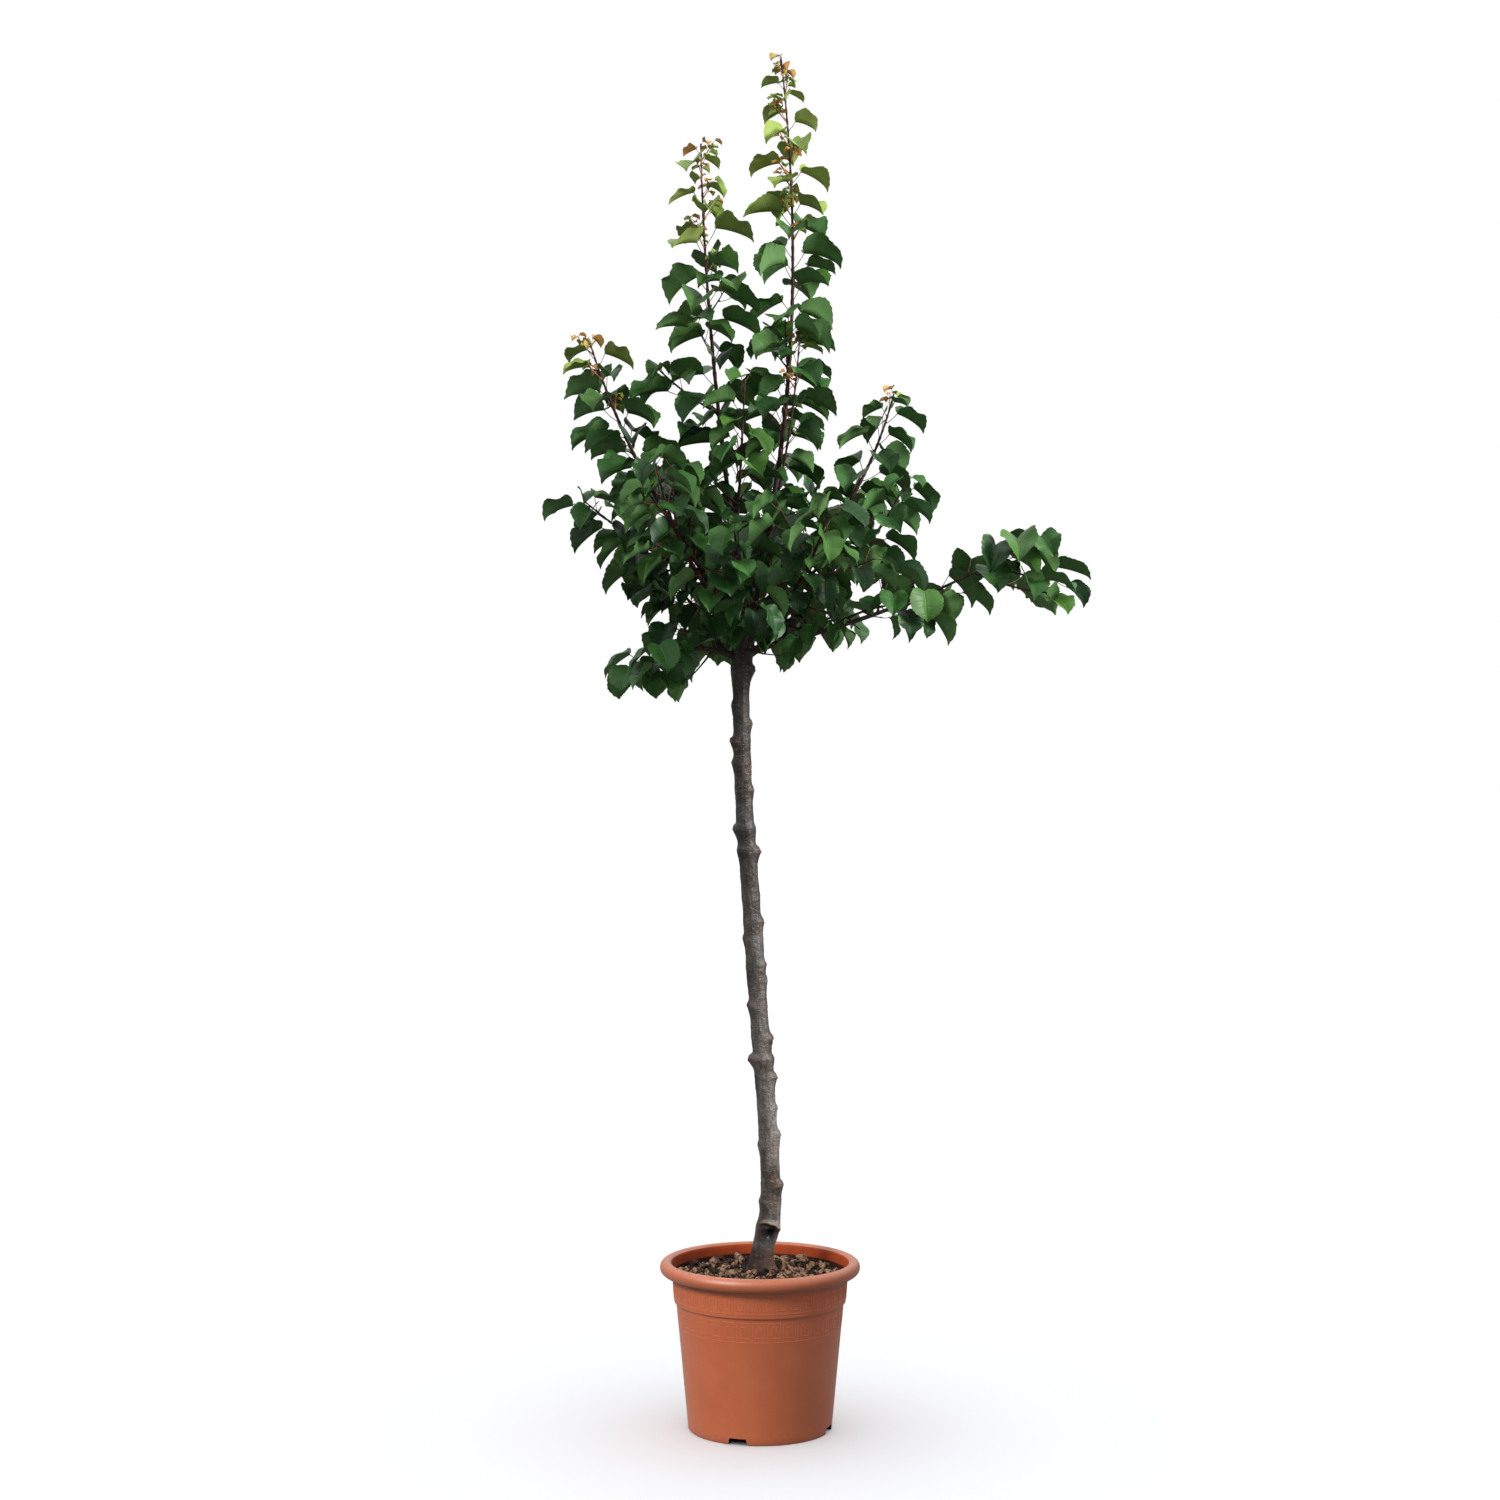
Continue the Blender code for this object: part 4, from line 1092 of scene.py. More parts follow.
# %% Relief of a knot, with the ring beside it
KNOT_HALF_HEIGHT = 0.0105
KNOT_ABOVE = 0.75
KNOT_BELOW = 1.7
KNOT_REACH = 3
KNOT_SHARPNESS = 3
KNOT_ALL_ROUND = 0.15
KNOT_GROWTH = 1.25
BIG_KNOT = 0.006
BIG_ALL_ROUND = 0.40
RING_HEIGHT = 0.0006
RING_HALF = 0.0016
RING_BELOW = 0.003
RING_WANDER = 0.0012
RING_BEHIND = 0.15
RING_PALENESS = 0.35


def knot_relief(z, bearing, radius, knot):
    """What one knot adds: how far the bark stands out, and how dark, pale and red it is."""
    height, degrees, size = knot
    above = z - height
    half = KNOT_HALF_HEIGHT * (KNOT_ABOVE if above > 0 else KNOT_BELOW)
    if abs(above) > KNOT_REACH * half:
        return 0, 0, 0, 0
    turn = math.remainder(bearing - math.radians(degrees), 2 * math.pi)
    all_round = BIG_ALL_ROUND if size > BIG_KNOT else KNOT_ALL_ROUND
    facing = max(0, math.cos(turn)) ** KNOT_SHARPNESS
    out = KNOT_GROWTH * size * bell(above, half) * (all_round + (1 - all_round) * facing)
    depth, lip, dark, red = scar_relief(turn * radius, above, size)
    out = out - depth + lip
    wander = RING_WANDER * math.sin(2 * bearing + degrees)
    ring = bell(above + RING_BELOW + wander, RING_HALF)
    ring *= RING_BEHIND + (1 - RING_BEHIND) * math.cos(turn / 2) ** 4
    return out + RING_HEIGHT * ring, dark, RING_PALENESS * ring, red


# %% Relief of the graft
GRAFT_Z = 0.389
HOLLOW_SIZE = (0.0054, 0.0084)
HOLLOW_DEPTH = 0.009
HOLLOW_STEEPNESS = 1.5
RIDGE = [(-0.027, 0.020), (-0.012, 0.0235), (0.002, 0.0195), (0.016, 0.0085), (0.024, 0.004)]
RIDGE_WIDTH = 0.0034
RIDGE_HEIGHT = 0.0050
STEP_DEPTH = 0.0034
STEP_FADE = 0.030
SHADE_REACH = 0.045
FRONT_HALF = 0.022
GRAFT_REACH = (-0.02, 0.08)
LEAST_FRONT = 0.01
CREVICE = {"below": 0.0055, "height": 0.0022, "side": -0.006, "width": 0.008, "depth": 0.002}
# How dark the graft's hollow, crevice and the bark under its ridge are painted: painted shade.
GRAFT_SHADE = {"hollow": 1.6, "crevice": 1.1, "shade": 0.86}
# How pale the graft's ridge is painted: a painted highlight.
RIDGE_HIGHLIGHT = 0.9


def ridge_height(sideways):
    """The height of the graft's ridge over its hollow, at a place across the trunk's front."""
    across, up = zip(*RIDGE)
    return float(np.interp(sideways, across, up))


def graft_relief(z, sideways):
    """What the graft adds at a height and a place across its front: out, painted shade and
    highlight.
    """
    front = bell(sideways, FRONT_HALF, 4)
    below = GRAFT_Z + ridge_height(sideways) - z
    if front <= LEAST_FRONT or not GRAFT_REACH[0] < below < GRAFT_REACH[1]:
        return 0, 0, 0
    across, up = sideways / HOLLOW_SIZE[0], (z - GRAFT_Z) / HOLLOW_SIZE[1]
    hollow = math.exp(-((across**2 + up**2) ** HOLLOW_STEEPNESS))
    ridge = bell(below, RIDGE_WIDTH) * front
    under_ridge = front if below > RIDGE_WIDTH else 0
    shelf = math.exp(-below / STEP_FADE) * under_ridge
    shade = bell(below, SHADE_REACH, 4) * under_ridge
    crevice = bell(below - CREVICE["below"], CREVICE["height"])
    crevice *= bell(sideways - CREVICE["side"], CREVICE["width"])
    out = RIDGE_HEIGHT * ridge - STEP_DEPTH * shelf - HOLLOW_DEPTH * hollow
    out -= CREVICE["depth"] * crevice
    dark = GRAFT_SHADE["hollow"] * hollow + GRAFT_SHADE["crevice"] * crevice + GRAFT_SHADE["shade"] * shade
    return out, dark, RIDGE_HIGHLIGHT * ridge


# %% All of the relief together
GRAFT_BEARING = 283
HEAD_HEIGHTS = (1.470, 1.520, 1.610, 1.665)
HEAD_SWELL = 0.0045
FLARE_LOBES = 5
FLARE_OUT = 0.0020
FLARE_FADE = 0.020
FLARE_TURN = 0.7
FLARE_WAVES = (3, 90)
BARK_WAVES = [(0.0013, 1.3, 16), (0.0008, 4.5, 45), (0.0006, 1.1, 190)]


def trunk_relief(z, bearing, radius):
    """How far the bark stands out, how dark, pale and red it is, at a height and a bearing."""
    around = Vector((math.cos(bearing), math.sin(bearing), 0))
    marks = np.zeros(4)
    for knot in KNOTS:
        marks += knot_relief(z, bearing, radius, knot)
    out, dark, pale, red = marks
    sideways = math.remainder(bearing - math.radians(GRAFT_BEARING), 2 * math.pi) * radius
    graft_out, graft_shade, graft_highlight = graft_relief(z, sideways)
    out += graft_out
    out += float(np.interp(z, HEAD_HEIGHTS, (0, HEAD_SWELL, HEAD_SWELL, 0)))
    flare = math.exp(-(z - TRUNK_STATIONS[0][0]) / FLARE_FADE)
    out += FLARE_OUT * flare * math.cos(FLARE_LOBES * bearing + FLARE_TURN + math.sin(bearing))
    out += FLARE_OUT * flare * noise.noise(around * FLARE_WAVES[0] + UP * z * FLARE_WAVES[1])
    for size, round_scale, height_scale in BARK_WAVES:
        out += size * noise.noise(around * round_scale + UP * z * height_scale)
    return out, min(dark + graft_shade, 1), min(pale + graft_highlight, 1), min(red, 1)


# %% The trunk's mesh
TRUNK_SIDES = 64
TRUNK_RINGS = 520
CUT_DOME = 0.004

heights = np.linspace(TRUNK_STATIONS[0][0], TRUNK_STATIONS[-1][0], TRUNK_RINGS)
axis, thickness = zip(*(trunk_at(z) for z in heights))
bearings = np.arange(TRUNK_SIDES) * 2 * math.pi / TRUNK_SIDES
trunk_corners, marks = [], []
for z, centre, radius in zip(heights, axis, thickness):
    for bearing in bearings:
        out, *tones = trunk_relief(z, bearing, radius)
        reach = radius + out
        x, y = centre.x + reach * math.cos(bearing), centre.y + reach * math.sin(bearing)
        trunk_corners.append((x, y, z))
        marks.append(tones)
_, trunk_faces = sweep([tuple(centre) for centre in axis], thickness, TRUNK_SIDES)
trunk_corners += [tuple(axis[0]), tuple(axis[-1] + UP * CUT_DOME)]
marks = np.array(marks + [[0, 0, 0]] * 2)
print("trunk:", len(trunk_corners), "corners")

# %% [markdown]
# ## Bark
#
# Four things make this bark: a silvery grey that drifts to brown, small rust-coloured pores in
# short level dashes, dark speckles, and a dull sheen. The pores are the spots group, squeezed in
# height so that round spots become dashes. Higher up the bark is darker, as painted shade of the
# crown, and only patches of it stay silver. Below the graft it is brown and rougher, and soil
# clings to its foot. The graft's hollow, a crevice and the bark under its ridge are darker, as
# painted shade, and its ridge is paler, as a painted highlight. The scars are darker and redder.
# All of these come from numbers that the relief's function gave for each corner.

# %% Trunk bark, from its ground tone to the soil on its foot
BARK_ROUGHNESS = 0.43
FOOT_DULLING = 0.40
CROWN_SHADE_OVER = (0.45, 1.30)
CROWN_SHADE_BY = 0.98
BROWN_BELOW = (0.372, 0.345)
BROWN_BY = 0.92

trunk_bark, tree, shader = new_material("trunk_bark", BARK_ROUGHNESS)
base = place_group(
    tree, blotches, First=srgb(138, 139, 136), Second=srgb(56, 52, 46),
    Stretch=(1, 1, 0.45), Scale=26, Amount=1.0,
)
warm = place_group(
    tree, blotches, First=base["Colour"], Second=srgb(112, 84, 66),
    Stretch=(1, 1, 0.8), Scale=60, Amount=0.50,
)
speckled = place_group(
    tree, blotches, First=warm["Colour"], Second=srgb(46, 43, 39),
    Stretch=(1, 1, 0.8), Scale=260, Amount=0.55,
)
trunk_height = own_height(tree)
# Higher up, painted shade of the crown darkens the bark, except in silver patches.
silver = place_group(tree, blotches, Stretch=(1, 1, 0.4), Scale=15, Amount=0.5)
upper = maths(tree, "MULTIPLY", ramp(tree, trunk_height, *CROWN_SHADE_OVER), CROWN_SHADE_BY)
upper = maths(tree, "MULTIPLY", upper, maths(tree, "SUBTRACT", 1, silver["Mask"]))
crown_shaded = mixed(tree, upper, speckled["Colour"], srgb(33, 29, 25))
foot = place_group(
    tree, blotches, First=srgb(70, 43, 27), Second=srgb(30, 20, 15), Scale=90, Amount=1.0,
)
low = maths(tree, "MULTIPLY", ramp(tree, trunk_height, *BROWN_BELOW), BROWN_BY)
browned = mixed(tree, low, crown_shaded, foot["Colour"])
dulled = maths(tree, "MULTIPLY_ADD", low, FOOT_DULLING, BARK_ROUGHNESS)
tree.links.new(dulled, shader.inputs["Roughness"])
soiled = place_group(
    tree, dust, Clean=browned, Dusty=srgb(57, 36, 23),
    Level=0.325, Reach=0.040, Low_Amount=1.6, Top_Amount=0.0,
)

# %% Pores, rings, scars, and the graft's painted shade and highlight, on the trunk bark
PORES_BETWEEN_ROWS = 0.15
PORE_HEIGHT = 0.9

pores = place_group(tree, spots, Stretch=(0.6, 0.6, 1.2), Scale=240, Size=0.48, Cover=0.26)
clusters = place_group(tree, blotches, Stretch=(1, 1, 0.8), Scale=34, Amount=0.85)
crowded = maths(tree, "ADD", clusters["Mask"], PORES_BETWEEN_ROWS)
pore_mask = maths(tree, "MULTIPLY", pores["Mask"], crowded)
pored = mixed(tree, pore_mask, soiled["Colour"], srgb(150, 98, 70))
# Dark: the scars' tone and the graft's painted shade. Pale: rings and the ridge's painted
# highlight.
dark_and_shade_mask = add(tree, "Attribute", attribute_name="dark").outputs["Fac"]
pale_and_highlight_mask = add(tree, "Attribute", attribute_name="pale").outputs["Fac"]
red_mask = add(tree, "Attribute", attribute_name="red").outputs["Fac"]
ringed_and_highlit = mixed(tree, pale_and_highlight_mask, pored, srgb(152, 134, 112))
scarred = mixed(tree, red_mask, ringed_and_highlit, srgb(104, 60, 42))
darkened_and_shaded = mixed(tree, dark_and_shade_mask, scarred, srgb(20, 19, 20))
tree.links.new(darkened_and_shaded, shader.inputs["Base Color"])
rough = place_group(tree, grain, Stretch=(1, 1, 1.4), Scale=380, Coarse=1.6)
pore_part = maths(tree, "MULTIPLY", pore_mask, PORE_HEIGHT)
raise_bump(tree, shader, maths(tree, "ADD", rough["Height"], pore_part), 0.0008)

trunk = joined("trunk_with_bark", [(np.array(trunk_corners), trunk_faces)], [trunk_bark])
# The dark and pale values carry the graft's painted shade and painted highlight.
for column, name in enumerate(("dark", "pale", "red")):
    write_values(trunk, name, marks[:, column])
settle(trunk, "trunk_bark", "trunk")

# %% [markdown]
# ## The rule of the shoots
#
# The coarse model grew each shoot as one smooth curve. It leaves the trunk or another shoot,
# bends towards an elbow point and ends at its tip. The first stretch is bare and the rest carries
# leaves. The same table and the same rule are written again here, so every finer twig and leaf
# grows where the coarse ones did.

# %% The shoots
SHOOT_COLUMNS = (
    "name", "parent", "leave", "elbow", "tip",
    "bare", "radius", "leaves", "sprays", "hang", "tip_size",
)
SHOOT_ROWS = [
    ("leader_right", "trunk", 1.655, (0.110, 0.02, 2.150), (0.042, 0.03, 2.748),
     0.18, 0.0085, 44, 1, 0.1, 0.28),
    ("leader_left", "trunk", 1.650, (-0.110, -0.01, 2.147), (-0.118, -0.02, 2.560),
     0.20, 0.0080, 34, 1, 0.1, 0.3),
    ("left_upper", "trunk", 1.612, (-0.245, -0.03, 1.860), (-0.336, -0.06, 2.156),
     0.34, 0.0080, 22, 0, 0.1, 0.35),
    ("left_outer", "left_upper", 0.16, (-0.220, -0.07, 1.735), (-0.345, -0.10, 1.840),
     0.35, 0.0055, 12, 0, 0.3, 0.6),
    ("left_low", "trunk", 1.535, (-0.140, -0.03, 1.585), (-0.250, -0.05, 1.500),
     0.36, 0.0070, 18, 1, 0.8, 0.85),
    ("left_mid", "left_low", 0.15, (-0.140, 0.04, 1.680), (-0.240, 0.03, 1.725),
     0.28, 0.0055, 17, 1, 0.7, 0.85),
    ("red_shoot", "leader_right", 0.10, (0.062, -0.07, 1.940), (0.078, -0.05, 2.162),
     0.30, 0.0045, 12, 0, 0.2, 0.4),
    ("right_upper", "trunk", 1.625, (0.200, 0.03, 1.800), (0.270, 0.04, 2.070),
     0.42, 0.0070, 18, 0, 0.2, 0.4),
    ("right_mid", "trunk", 1.590, (0.190, -0.03, 1.670), (0.290, -0.04, 1.885),
     0.45, 0.0065, 16, 0, 0.3, 0.55),
    ("right_long", "trunk", 1.550, (0.300, -0.05, 1.622), (0.538, -0.05, 1.766),
     0.70, 0.0085, 20, 2, 0.45, 0.75),
    ("right_hanging", "right_long", 0.26, (0.220, -0.10, 1.650), (0.335, -0.11, 1.635),
     0.25, 0.0045, 9, 0, 0.9, 0.9),
    ("right_low", "right_long", 0.12, (0.060, -0.10, 1.640), (0.115, -0.13, 1.680),
     0.30, 0.0050, 11, 0, 1.0, 0.9),
    ("front_left", "trunk", 1.600, (-0.160, -0.14, 1.700), (-0.200, -0.22, 1.900),
     0.36, 0.0075, 24, 2, 0.4, 0.75),
    ("front_right", "trunk", 1.570, (0.090, -0.15, 1.650), (0.130, -0.24, 1.810),
     0.36, 0.0070, 22, 2, 0.5, 0.8),
    ("front_centre", "trunk", 1.625, (-0.040, -0.12, 1.690), (-0.050, -0.22, 1.770),
     0.32, 0.0060, 14, 1, 0.7, 0.9),
    ("front_low", "trunk", 1.540, (-0.020, -0.12, 1.615), (-0.010, -0.22, 1.635),
     0.34, 0.0060, 12, 0, 0.9, 0.9),
    ("centre_up", "leader_left", 0.11, (-0.040, -0.10, 1.860), (-0.030, -0.08, 2.080),
     0.35, 0.0050, 14, 0, 0.3, 0.7),
    ("back_left", "trunk", 1.630, (-0.150, 0.14, 1.740), (-0.200, 0.25, 1.930),
     0.36, 0.0075, 22, 1, 0.4, 0.75),
    ("back_mid", "trunk", 1.595, (0.000, 0.18, 1.700), (0.030, 0.30, 1.950),
     0.36, 0.0075, 22, 1, 0.4, 0.75),
    ("back_right", "trunk", 1.600, (0.130, 0.12, 1.700), (0.200, 0.22, 1.860),
     0.36, 0.0070, 18, 1, 0.5, 0.75),
    ("back_low", "trunk", 1.540, (-0.060, 0.15, 1.630), (-0.080, 0.27, 1.650),
     0.36, 0.0060, 14, 1, 0.9, 0.9),
    ("back_low_right", "trunk", 1.535, (0.080, 0.11, 1.610), (0.160, 0.20, 1.630),
     0.36, 0.0055, 12, 0, 0.9, 0.9),
]
SHOOTS = [dict(zip(SHOOT_COLUMNS, row)) for row in SHOOT_ROWS]
MASSES = [shoot["name"] for shoot in SHOOTS]
BOUGHS = [name + "_bough" for name in MASSES]
print(len(SHOOTS), "shoots")


# %% The curves of the shoots
def bend(curve, t):
    """The point at fraction t of a curve from its start to its tip, bent towards its elbow."""
    start, elbow, tip = curve
    return start * (1 - t) ** 2 + elbow * 2 * t * (1 - t) + tip * t**2


def heading(curve, t):
    """The direction of a curve at fraction t."""
    start, elbow, tip = curve
    return ((elbow - start) * (1 - t) + (tip - elbow) * t).normalized()


def shoot_curve(shoot, curves):
    """A shoot's start, elbow and tip. It leaves the trunk on its own side of the axis."""
    elbow, tip = Vector(shoot["elbow"]), Vector(shoot["tip"])
    if shoot["parent"] != "trunk":
        return bend(curves[shoot["parent"]], shoot["leave"]), elbow, tip
    centre, radius = trunk_at(shoot["leave"])
    side = Vector((elbow.x - centre.x, elbow.y - centre.y, 0)).normalized()
    return centre + side * radius / 2, elbow, tip


curves = {}
for shoot in SHOOTS:
    curves[shoot["name"]] = shoot_curve(shoot, curves)
highest = max(curve[-1].z for curve in curves.values())
print(f"highest tip at {highest:.3f} m")

# %% [markdown]
# ## Twigs and side twigs
#
# A mass has one stem and a few side twigs, or sprays. To these the lesson adds spurs: the short
# twigs that crowd the older wood of every apricot, and on the tall shoots the first side growth
# of the year. They fill the inside of the crown, where the photograph is dark and dense.

# %% Stems, as the coarse model has them
GAP = 0.0003
BOUGH_TAPER = 0.60
STEM_TIP_RADIUS = 0.0018
STEM_BARE = 0.04
SPRAY_LEAVES = 5


def stem_twig(shoot):
    """The stem of a shoot's mass, from just past its bough's tip."""
    curve = curves[shoot["name"]]
    start, elbow, tip = curve
    rate = 2 * ((elbow - start) * (1 - shoot["bare"]) + (tip - elbow) * shoot["bare"]).length
    span = (shoot["bare"] + GAP / rate, 1)
    leaves = shoot["leaves"] - shoot["sprays"] * SPRAY_LEAVES
    radii = (shoot["radius"] * BOUGH_TAPER, STEM_TIP_RADIUS)
    return {
        "curve": curve, "span": span, "radii": radii, "leaves": leaves, "bare": STEM_BARE,
        "kind": "stem",
    }


# %% Sprays, as the coarse model has them
GOLDEN_ANGLE = 137.508
SPRAY_LENGTH = 0.130
SPRAY_RADIUS = 0.0024
SPRAY_ANGLE = 55
SPRAY_LIFT = 0.35
SPRAY_BARE = 0.30
SPRAY_STRAY = 0.3
SPRAY_VARIES = 0.2


def slanted(chance, parent, at, angle, number):
    """The direction in which a side twig leaves its parent, at a slant and some way round it."""
    along = heading(parent, at)
    across = along.orthogonal().normalized()
    turn = Matrix.Rotation(math.radians(GOLDEN_ANGLE * number + chance.uniform(0, 360)), 3, along)
    slant = math.radians(angle)
    return along * math.cos(slant) + (turn @ across) * math.sin(slant)


def rising_curve(start, away, length, lift):
    """A short curve that sets out in one direction and bends upwards."""
    elbow = start + away * length / 2
    return start, elbow, elbow + (away + Vector((0, 0, lift))).normalized() * length / 2


def spray_twig(shoot, stem, number):
    """A side twig of a leafy stem, as the coarse model has it."""
    chance = random.Random(f"{shoot['name']} spray {number}")
    share = (number + 1 + chance.uniform(-SPRAY_STRAY, SPRAY_STRAY)) / (shoot["sprays"] + 2)
    low, high = stem["span"]
    at = low + (high - low) * share
    away = slanted(chance, stem["curve"], at, SPRAY_ANGLE, number)
    length = SPRAY_LENGTH * (1 + chance.uniform(-SPRAY_VARIES, SPRAY_VARIES))
    curve = rising_curve(bend(stem["curve"], at), away, length, SPRAY_LIFT)
    return {
        "curve": curve, "span": (0, 1), "radii": (SPRAY_RADIUS, STEM_TIP_RADIUS),
        "leaves": SPRAY_LEAVES, "bare": SPRAY_BARE, "kind": "spray",
    }


# %% Spurs, which only this finer model has
SPUR_TIP_RADIUS = 0.0009
SPUR_BARE = 0.25
SPUR_PLACES = (0.2, 0.8)
SPUR_LENGTHS = (0.7, 1.25)
SPUR_KINDS = {
    "inner": {"span": (0.22, 1.0), "length": 0.085, "radius": 0.0022, "leaves": 5,
              "angle": 62, "lift": 0.25},
    "outer": {"span": (0.05, 0.65), "length": 0.060, "radius": 0.0016, "leaves": 3,
              "angle": 48, "lift": 0.35},
    "young": {"span": (0.60, 0.97), "length": 0.044, "radius": 0.0011, "leaves": 6,
              "angle": 42, "lift": 0.6},
}
SPUR_COUNTS = {
    "leader_right": {"inner": 3, "outer": 3, "young": 11},
    "leader_left": {"inner": 3, "outer": 3, "young": 7},
    "left_upper": {"inner": 3, "outer": 2, "young": 3},
    "red_shoot": {"inner": 1, "outer": 1, "young": 2},
    "right_upper": {"inner": 2, "outer": 1, "young": 1},
    "right_mid": {"inner": 3, "outer": 1},
    "right_hanging": {"inner": 2, "outer": 2},
    "right_long": {"inner": 3},
    "front_low": {"inner": 8, "outer": 3},
    "left_low": {"inner": 7, "outer": 3},
}
USUAL_SPURS = {"inner": 5, "outer": 3}


def spur_twig(shoot, stem, kind, number, count):
    """A spur on the bare bough (inner), on the leafy stem (outer), or near its tip (young)."""
    rule = SPUR_KINDS[kind]
    chance = random.Random(f"{shoot['name']} {kind} spur {number}")
    low, high = rule["span"]
    share = low + (high - low) * (number + chance.uniform(*SPUR_PLACES)) / count
    if kind == "inner":
        at = share * shoot["bare"]
    else:
        at = stem["span"][0] + (stem["span"][1] - stem["span"][0]) * share
    length = rule["length"] * chance.uniform(*SPUR_LENGTHS)
    away = slanted(chance, stem["curve"], at, rule["angle"], number)
    curve = rising_curve(bend(stem["curve"], at), away, length, rule["lift"])
    return {
        "curve": curve, "span": (0, 1), "radii": (rule["radius"], SPUR_TIP_RADIUS),
        "leaves": rule["leaves"], "bare": SPUR_BARE, "kind": kind,
    }


# %% [markdown]
# ## Where the leaves sit
#
# Each leaf stands a golden angle on from the last, on a stalk that rises at a slant. Its blade
# is folded along the midrib and arched, and on the lower shoots it hangs. A leaf that would touch
# a limb, a stem or another leaf is tried again at a slightly other angle, and left out if it fits
# nowhere. A fast test needs few faces, so it uses the coarse leaf of 19 faces, and only a leaf
# that passes is made fine.

# %% The size of one leaf
KIND_SIZE = {"stem": 1.0, "spray": 1.0, "inner": 0.95, "outer": 0.85, "young": 0.21}
COARSE_KINDS = ("stem", "spray")
SIZE_RANGE = (0.88, 1.08)
SHRINK_PER_TRY = 0.03
YOUNG_FROM = 0.55
YOUNG_POWER = 1.5
AHEAD_LIMIT = 0.93
AHEAD_SHARE = 0.30
AHEAD_GAIN = 0.65


def leaf_size(shoot, twig, share, attempt, chance):
    """A leaf's size: smaller and younger towards the tip, though a few are ahead of the rest."""
    young = 0
    if twig["kind"] in COARSE_KINDS:
        young = max(0, (share - YOUNG_FROM) / (1 - YOUNG_FROM))
    size = 1 - (1 - shoot["tip_size"]) * young**YOUNG_POWER
    if share < AHEAD_LIMIT and chance.random() < AHEAD_SHARE:
        size += (1 - size) * AHEAD_GAIN
    size *= chance.uniform(*SIZE_RANGE) * (1 - SHRINK_PER_TRY * attempt)
    return size * KIND_SIZE[twig["kind"]]


# %% The way one leaf points
PETIOLE_RISE = 48
PETIOLE_LIFT = 0.25
RISE_SPREAD = 8
BEARING_SPREAD = 12
BEARING_PER_TRY = 10
UPRIGHT_LIMIT = 0.05


def leaf_directions(along, number, attempt, chance):
    """The direction of a leaf's stalk, and the level direction in which its blade heads."""
    freedom = BEARING_SPREAD + BEARING_PER_TRY * attempt
    bearing = GOLDEN_ANGLE * number + chance.uniform(-freedom, freedom)
    across = Matrix.Rotation(math.radians(bearing), 3, along) @ along.orthogonal().normalized()
    rise = math.radians(PETIOLE_RISE + chance.uniform(-RISE_SPREAD, RISE_SPREAD))
    petiole = along * math.cos(rise) + across * math.sin(rise) + Vector((0, 0, PETIOLE_LIFT))
    petiole.normalize()
    flat = Vector((petiole.x + across.x, petiole.y + across.y, 0))
    if flat.length < UPRIGHT_LIMIT:
        flat = polar(bearing)
    return petiole, flat.normalized()


# %% The stance of one leaf
LEAF_LENGTH = 0.084
PETIOLE_LENGTH = 0.039
PETIOLE_RANGE = (0.85, 1.15)
FIRST_PITCH = 8
HANG_PITCH = 50
PITCH_SPREAD = 14
LEAF_BEND = 48
BEND_SPREAD = 16
LEAF_FOLD = 50
HANG_UNFOLD = 24
FOLD_SPREAD = 12
ROLL_SPREAD = 22


def leaf_at(shoot, twig, share, number, attempt):
    """One leaf's stance at a share of its twig, with more freedom at each further attempt."""
    seed = f"{shoot['name']} {tuple(twig['span'])} {twig['leaves']} {number} {attempt}"
    if twig["kind"] not in COARSE_KINDS:
        seed += f" {twig['kind']} {tuple(twig['curve'][0])}"
    chance = random.Random(seed)
    low, high = twig["span"]
    at = low + (high - low) * share
    along = heading(twig["curve"], at)
    petiole, flat = leaf_directions(along, number, attempt, chance)
    size = leaf_size(shoot, twig, share, attempt, chance)
    pitch = FIRST_PITCH - HANG_PITCH * shoot["hang"] + chance.uniform(-PITCH_SPREAD, PITCH_SPREAD)
    fold = LEAF_FOLD - HANG_UNFOLD * shoot["hang"]
    return {
        "root": bend(twig["curve"], at),
        "petiole": petiole,
        "petiole_length": PETIOLE_LENGTH * size * chance.uniform(*PETIOLE_RANGE),
        "heading": flat,
        "pitch": math.radians(pitch),
        "curl": math.radians(LEAF_BEND + chance.uniform(-BEND_SPREAD, BEND_SPREAD)),
        "fold": math.radians(fold + chance.uniform(-FOLD_SPREAD, FOLD_SPREAD)),
        "roll": math.radians(chance.uniform(-ROLL_SPREAD, ROLL_SPREAD)),
        "length": LEAF_LENGTH * size,
        "along": along,
        "share": share,
        "kind": twig["kind"],
        "shoot": shoot["name"],
        "size": size,
    }


# %% The coarse leaf's blade
def blade_frame(leaf, share):
    """A point on the arched midrib, with the directions across the blade and out of it."""
    pitch = leaf["pitch"] - leaf["curl"] * share
    scale = leaf["length"] / leaf["curl"]
    forward = scale * (math.sin(leaf["pitch"]) - math.sin(pitch))
    upward = scale * (math.cos(pitch) - math.cos(leaf["pitch"]))
    foot = leaf["root"] + leaf["petiole"] * leaf["petiole_length"]
    place = foot + leaf["heading"] * forward + UP * upward
    across = leaf["heading"].cross(UP)
    out = UP * math.cos(pitch) - leaf["heading"] * math.sin(pitch)
    roll = leaf["roll"]
    return (
        place,
        across * math.cos(roll) + out * math.sin(roll),
        out * math.cos(roll) - across * math.sin(roll),
    )


def blade_edge(leaf, share, half, sign):
    """A point out from the midrib, on the left or right wall of the folded blade."""
    place, across, out = blade_frame(leaf, share)
    return place + (across * math.cos(leaf["fold"]) * sign + out * math.sin(leaf["fold"])) * half


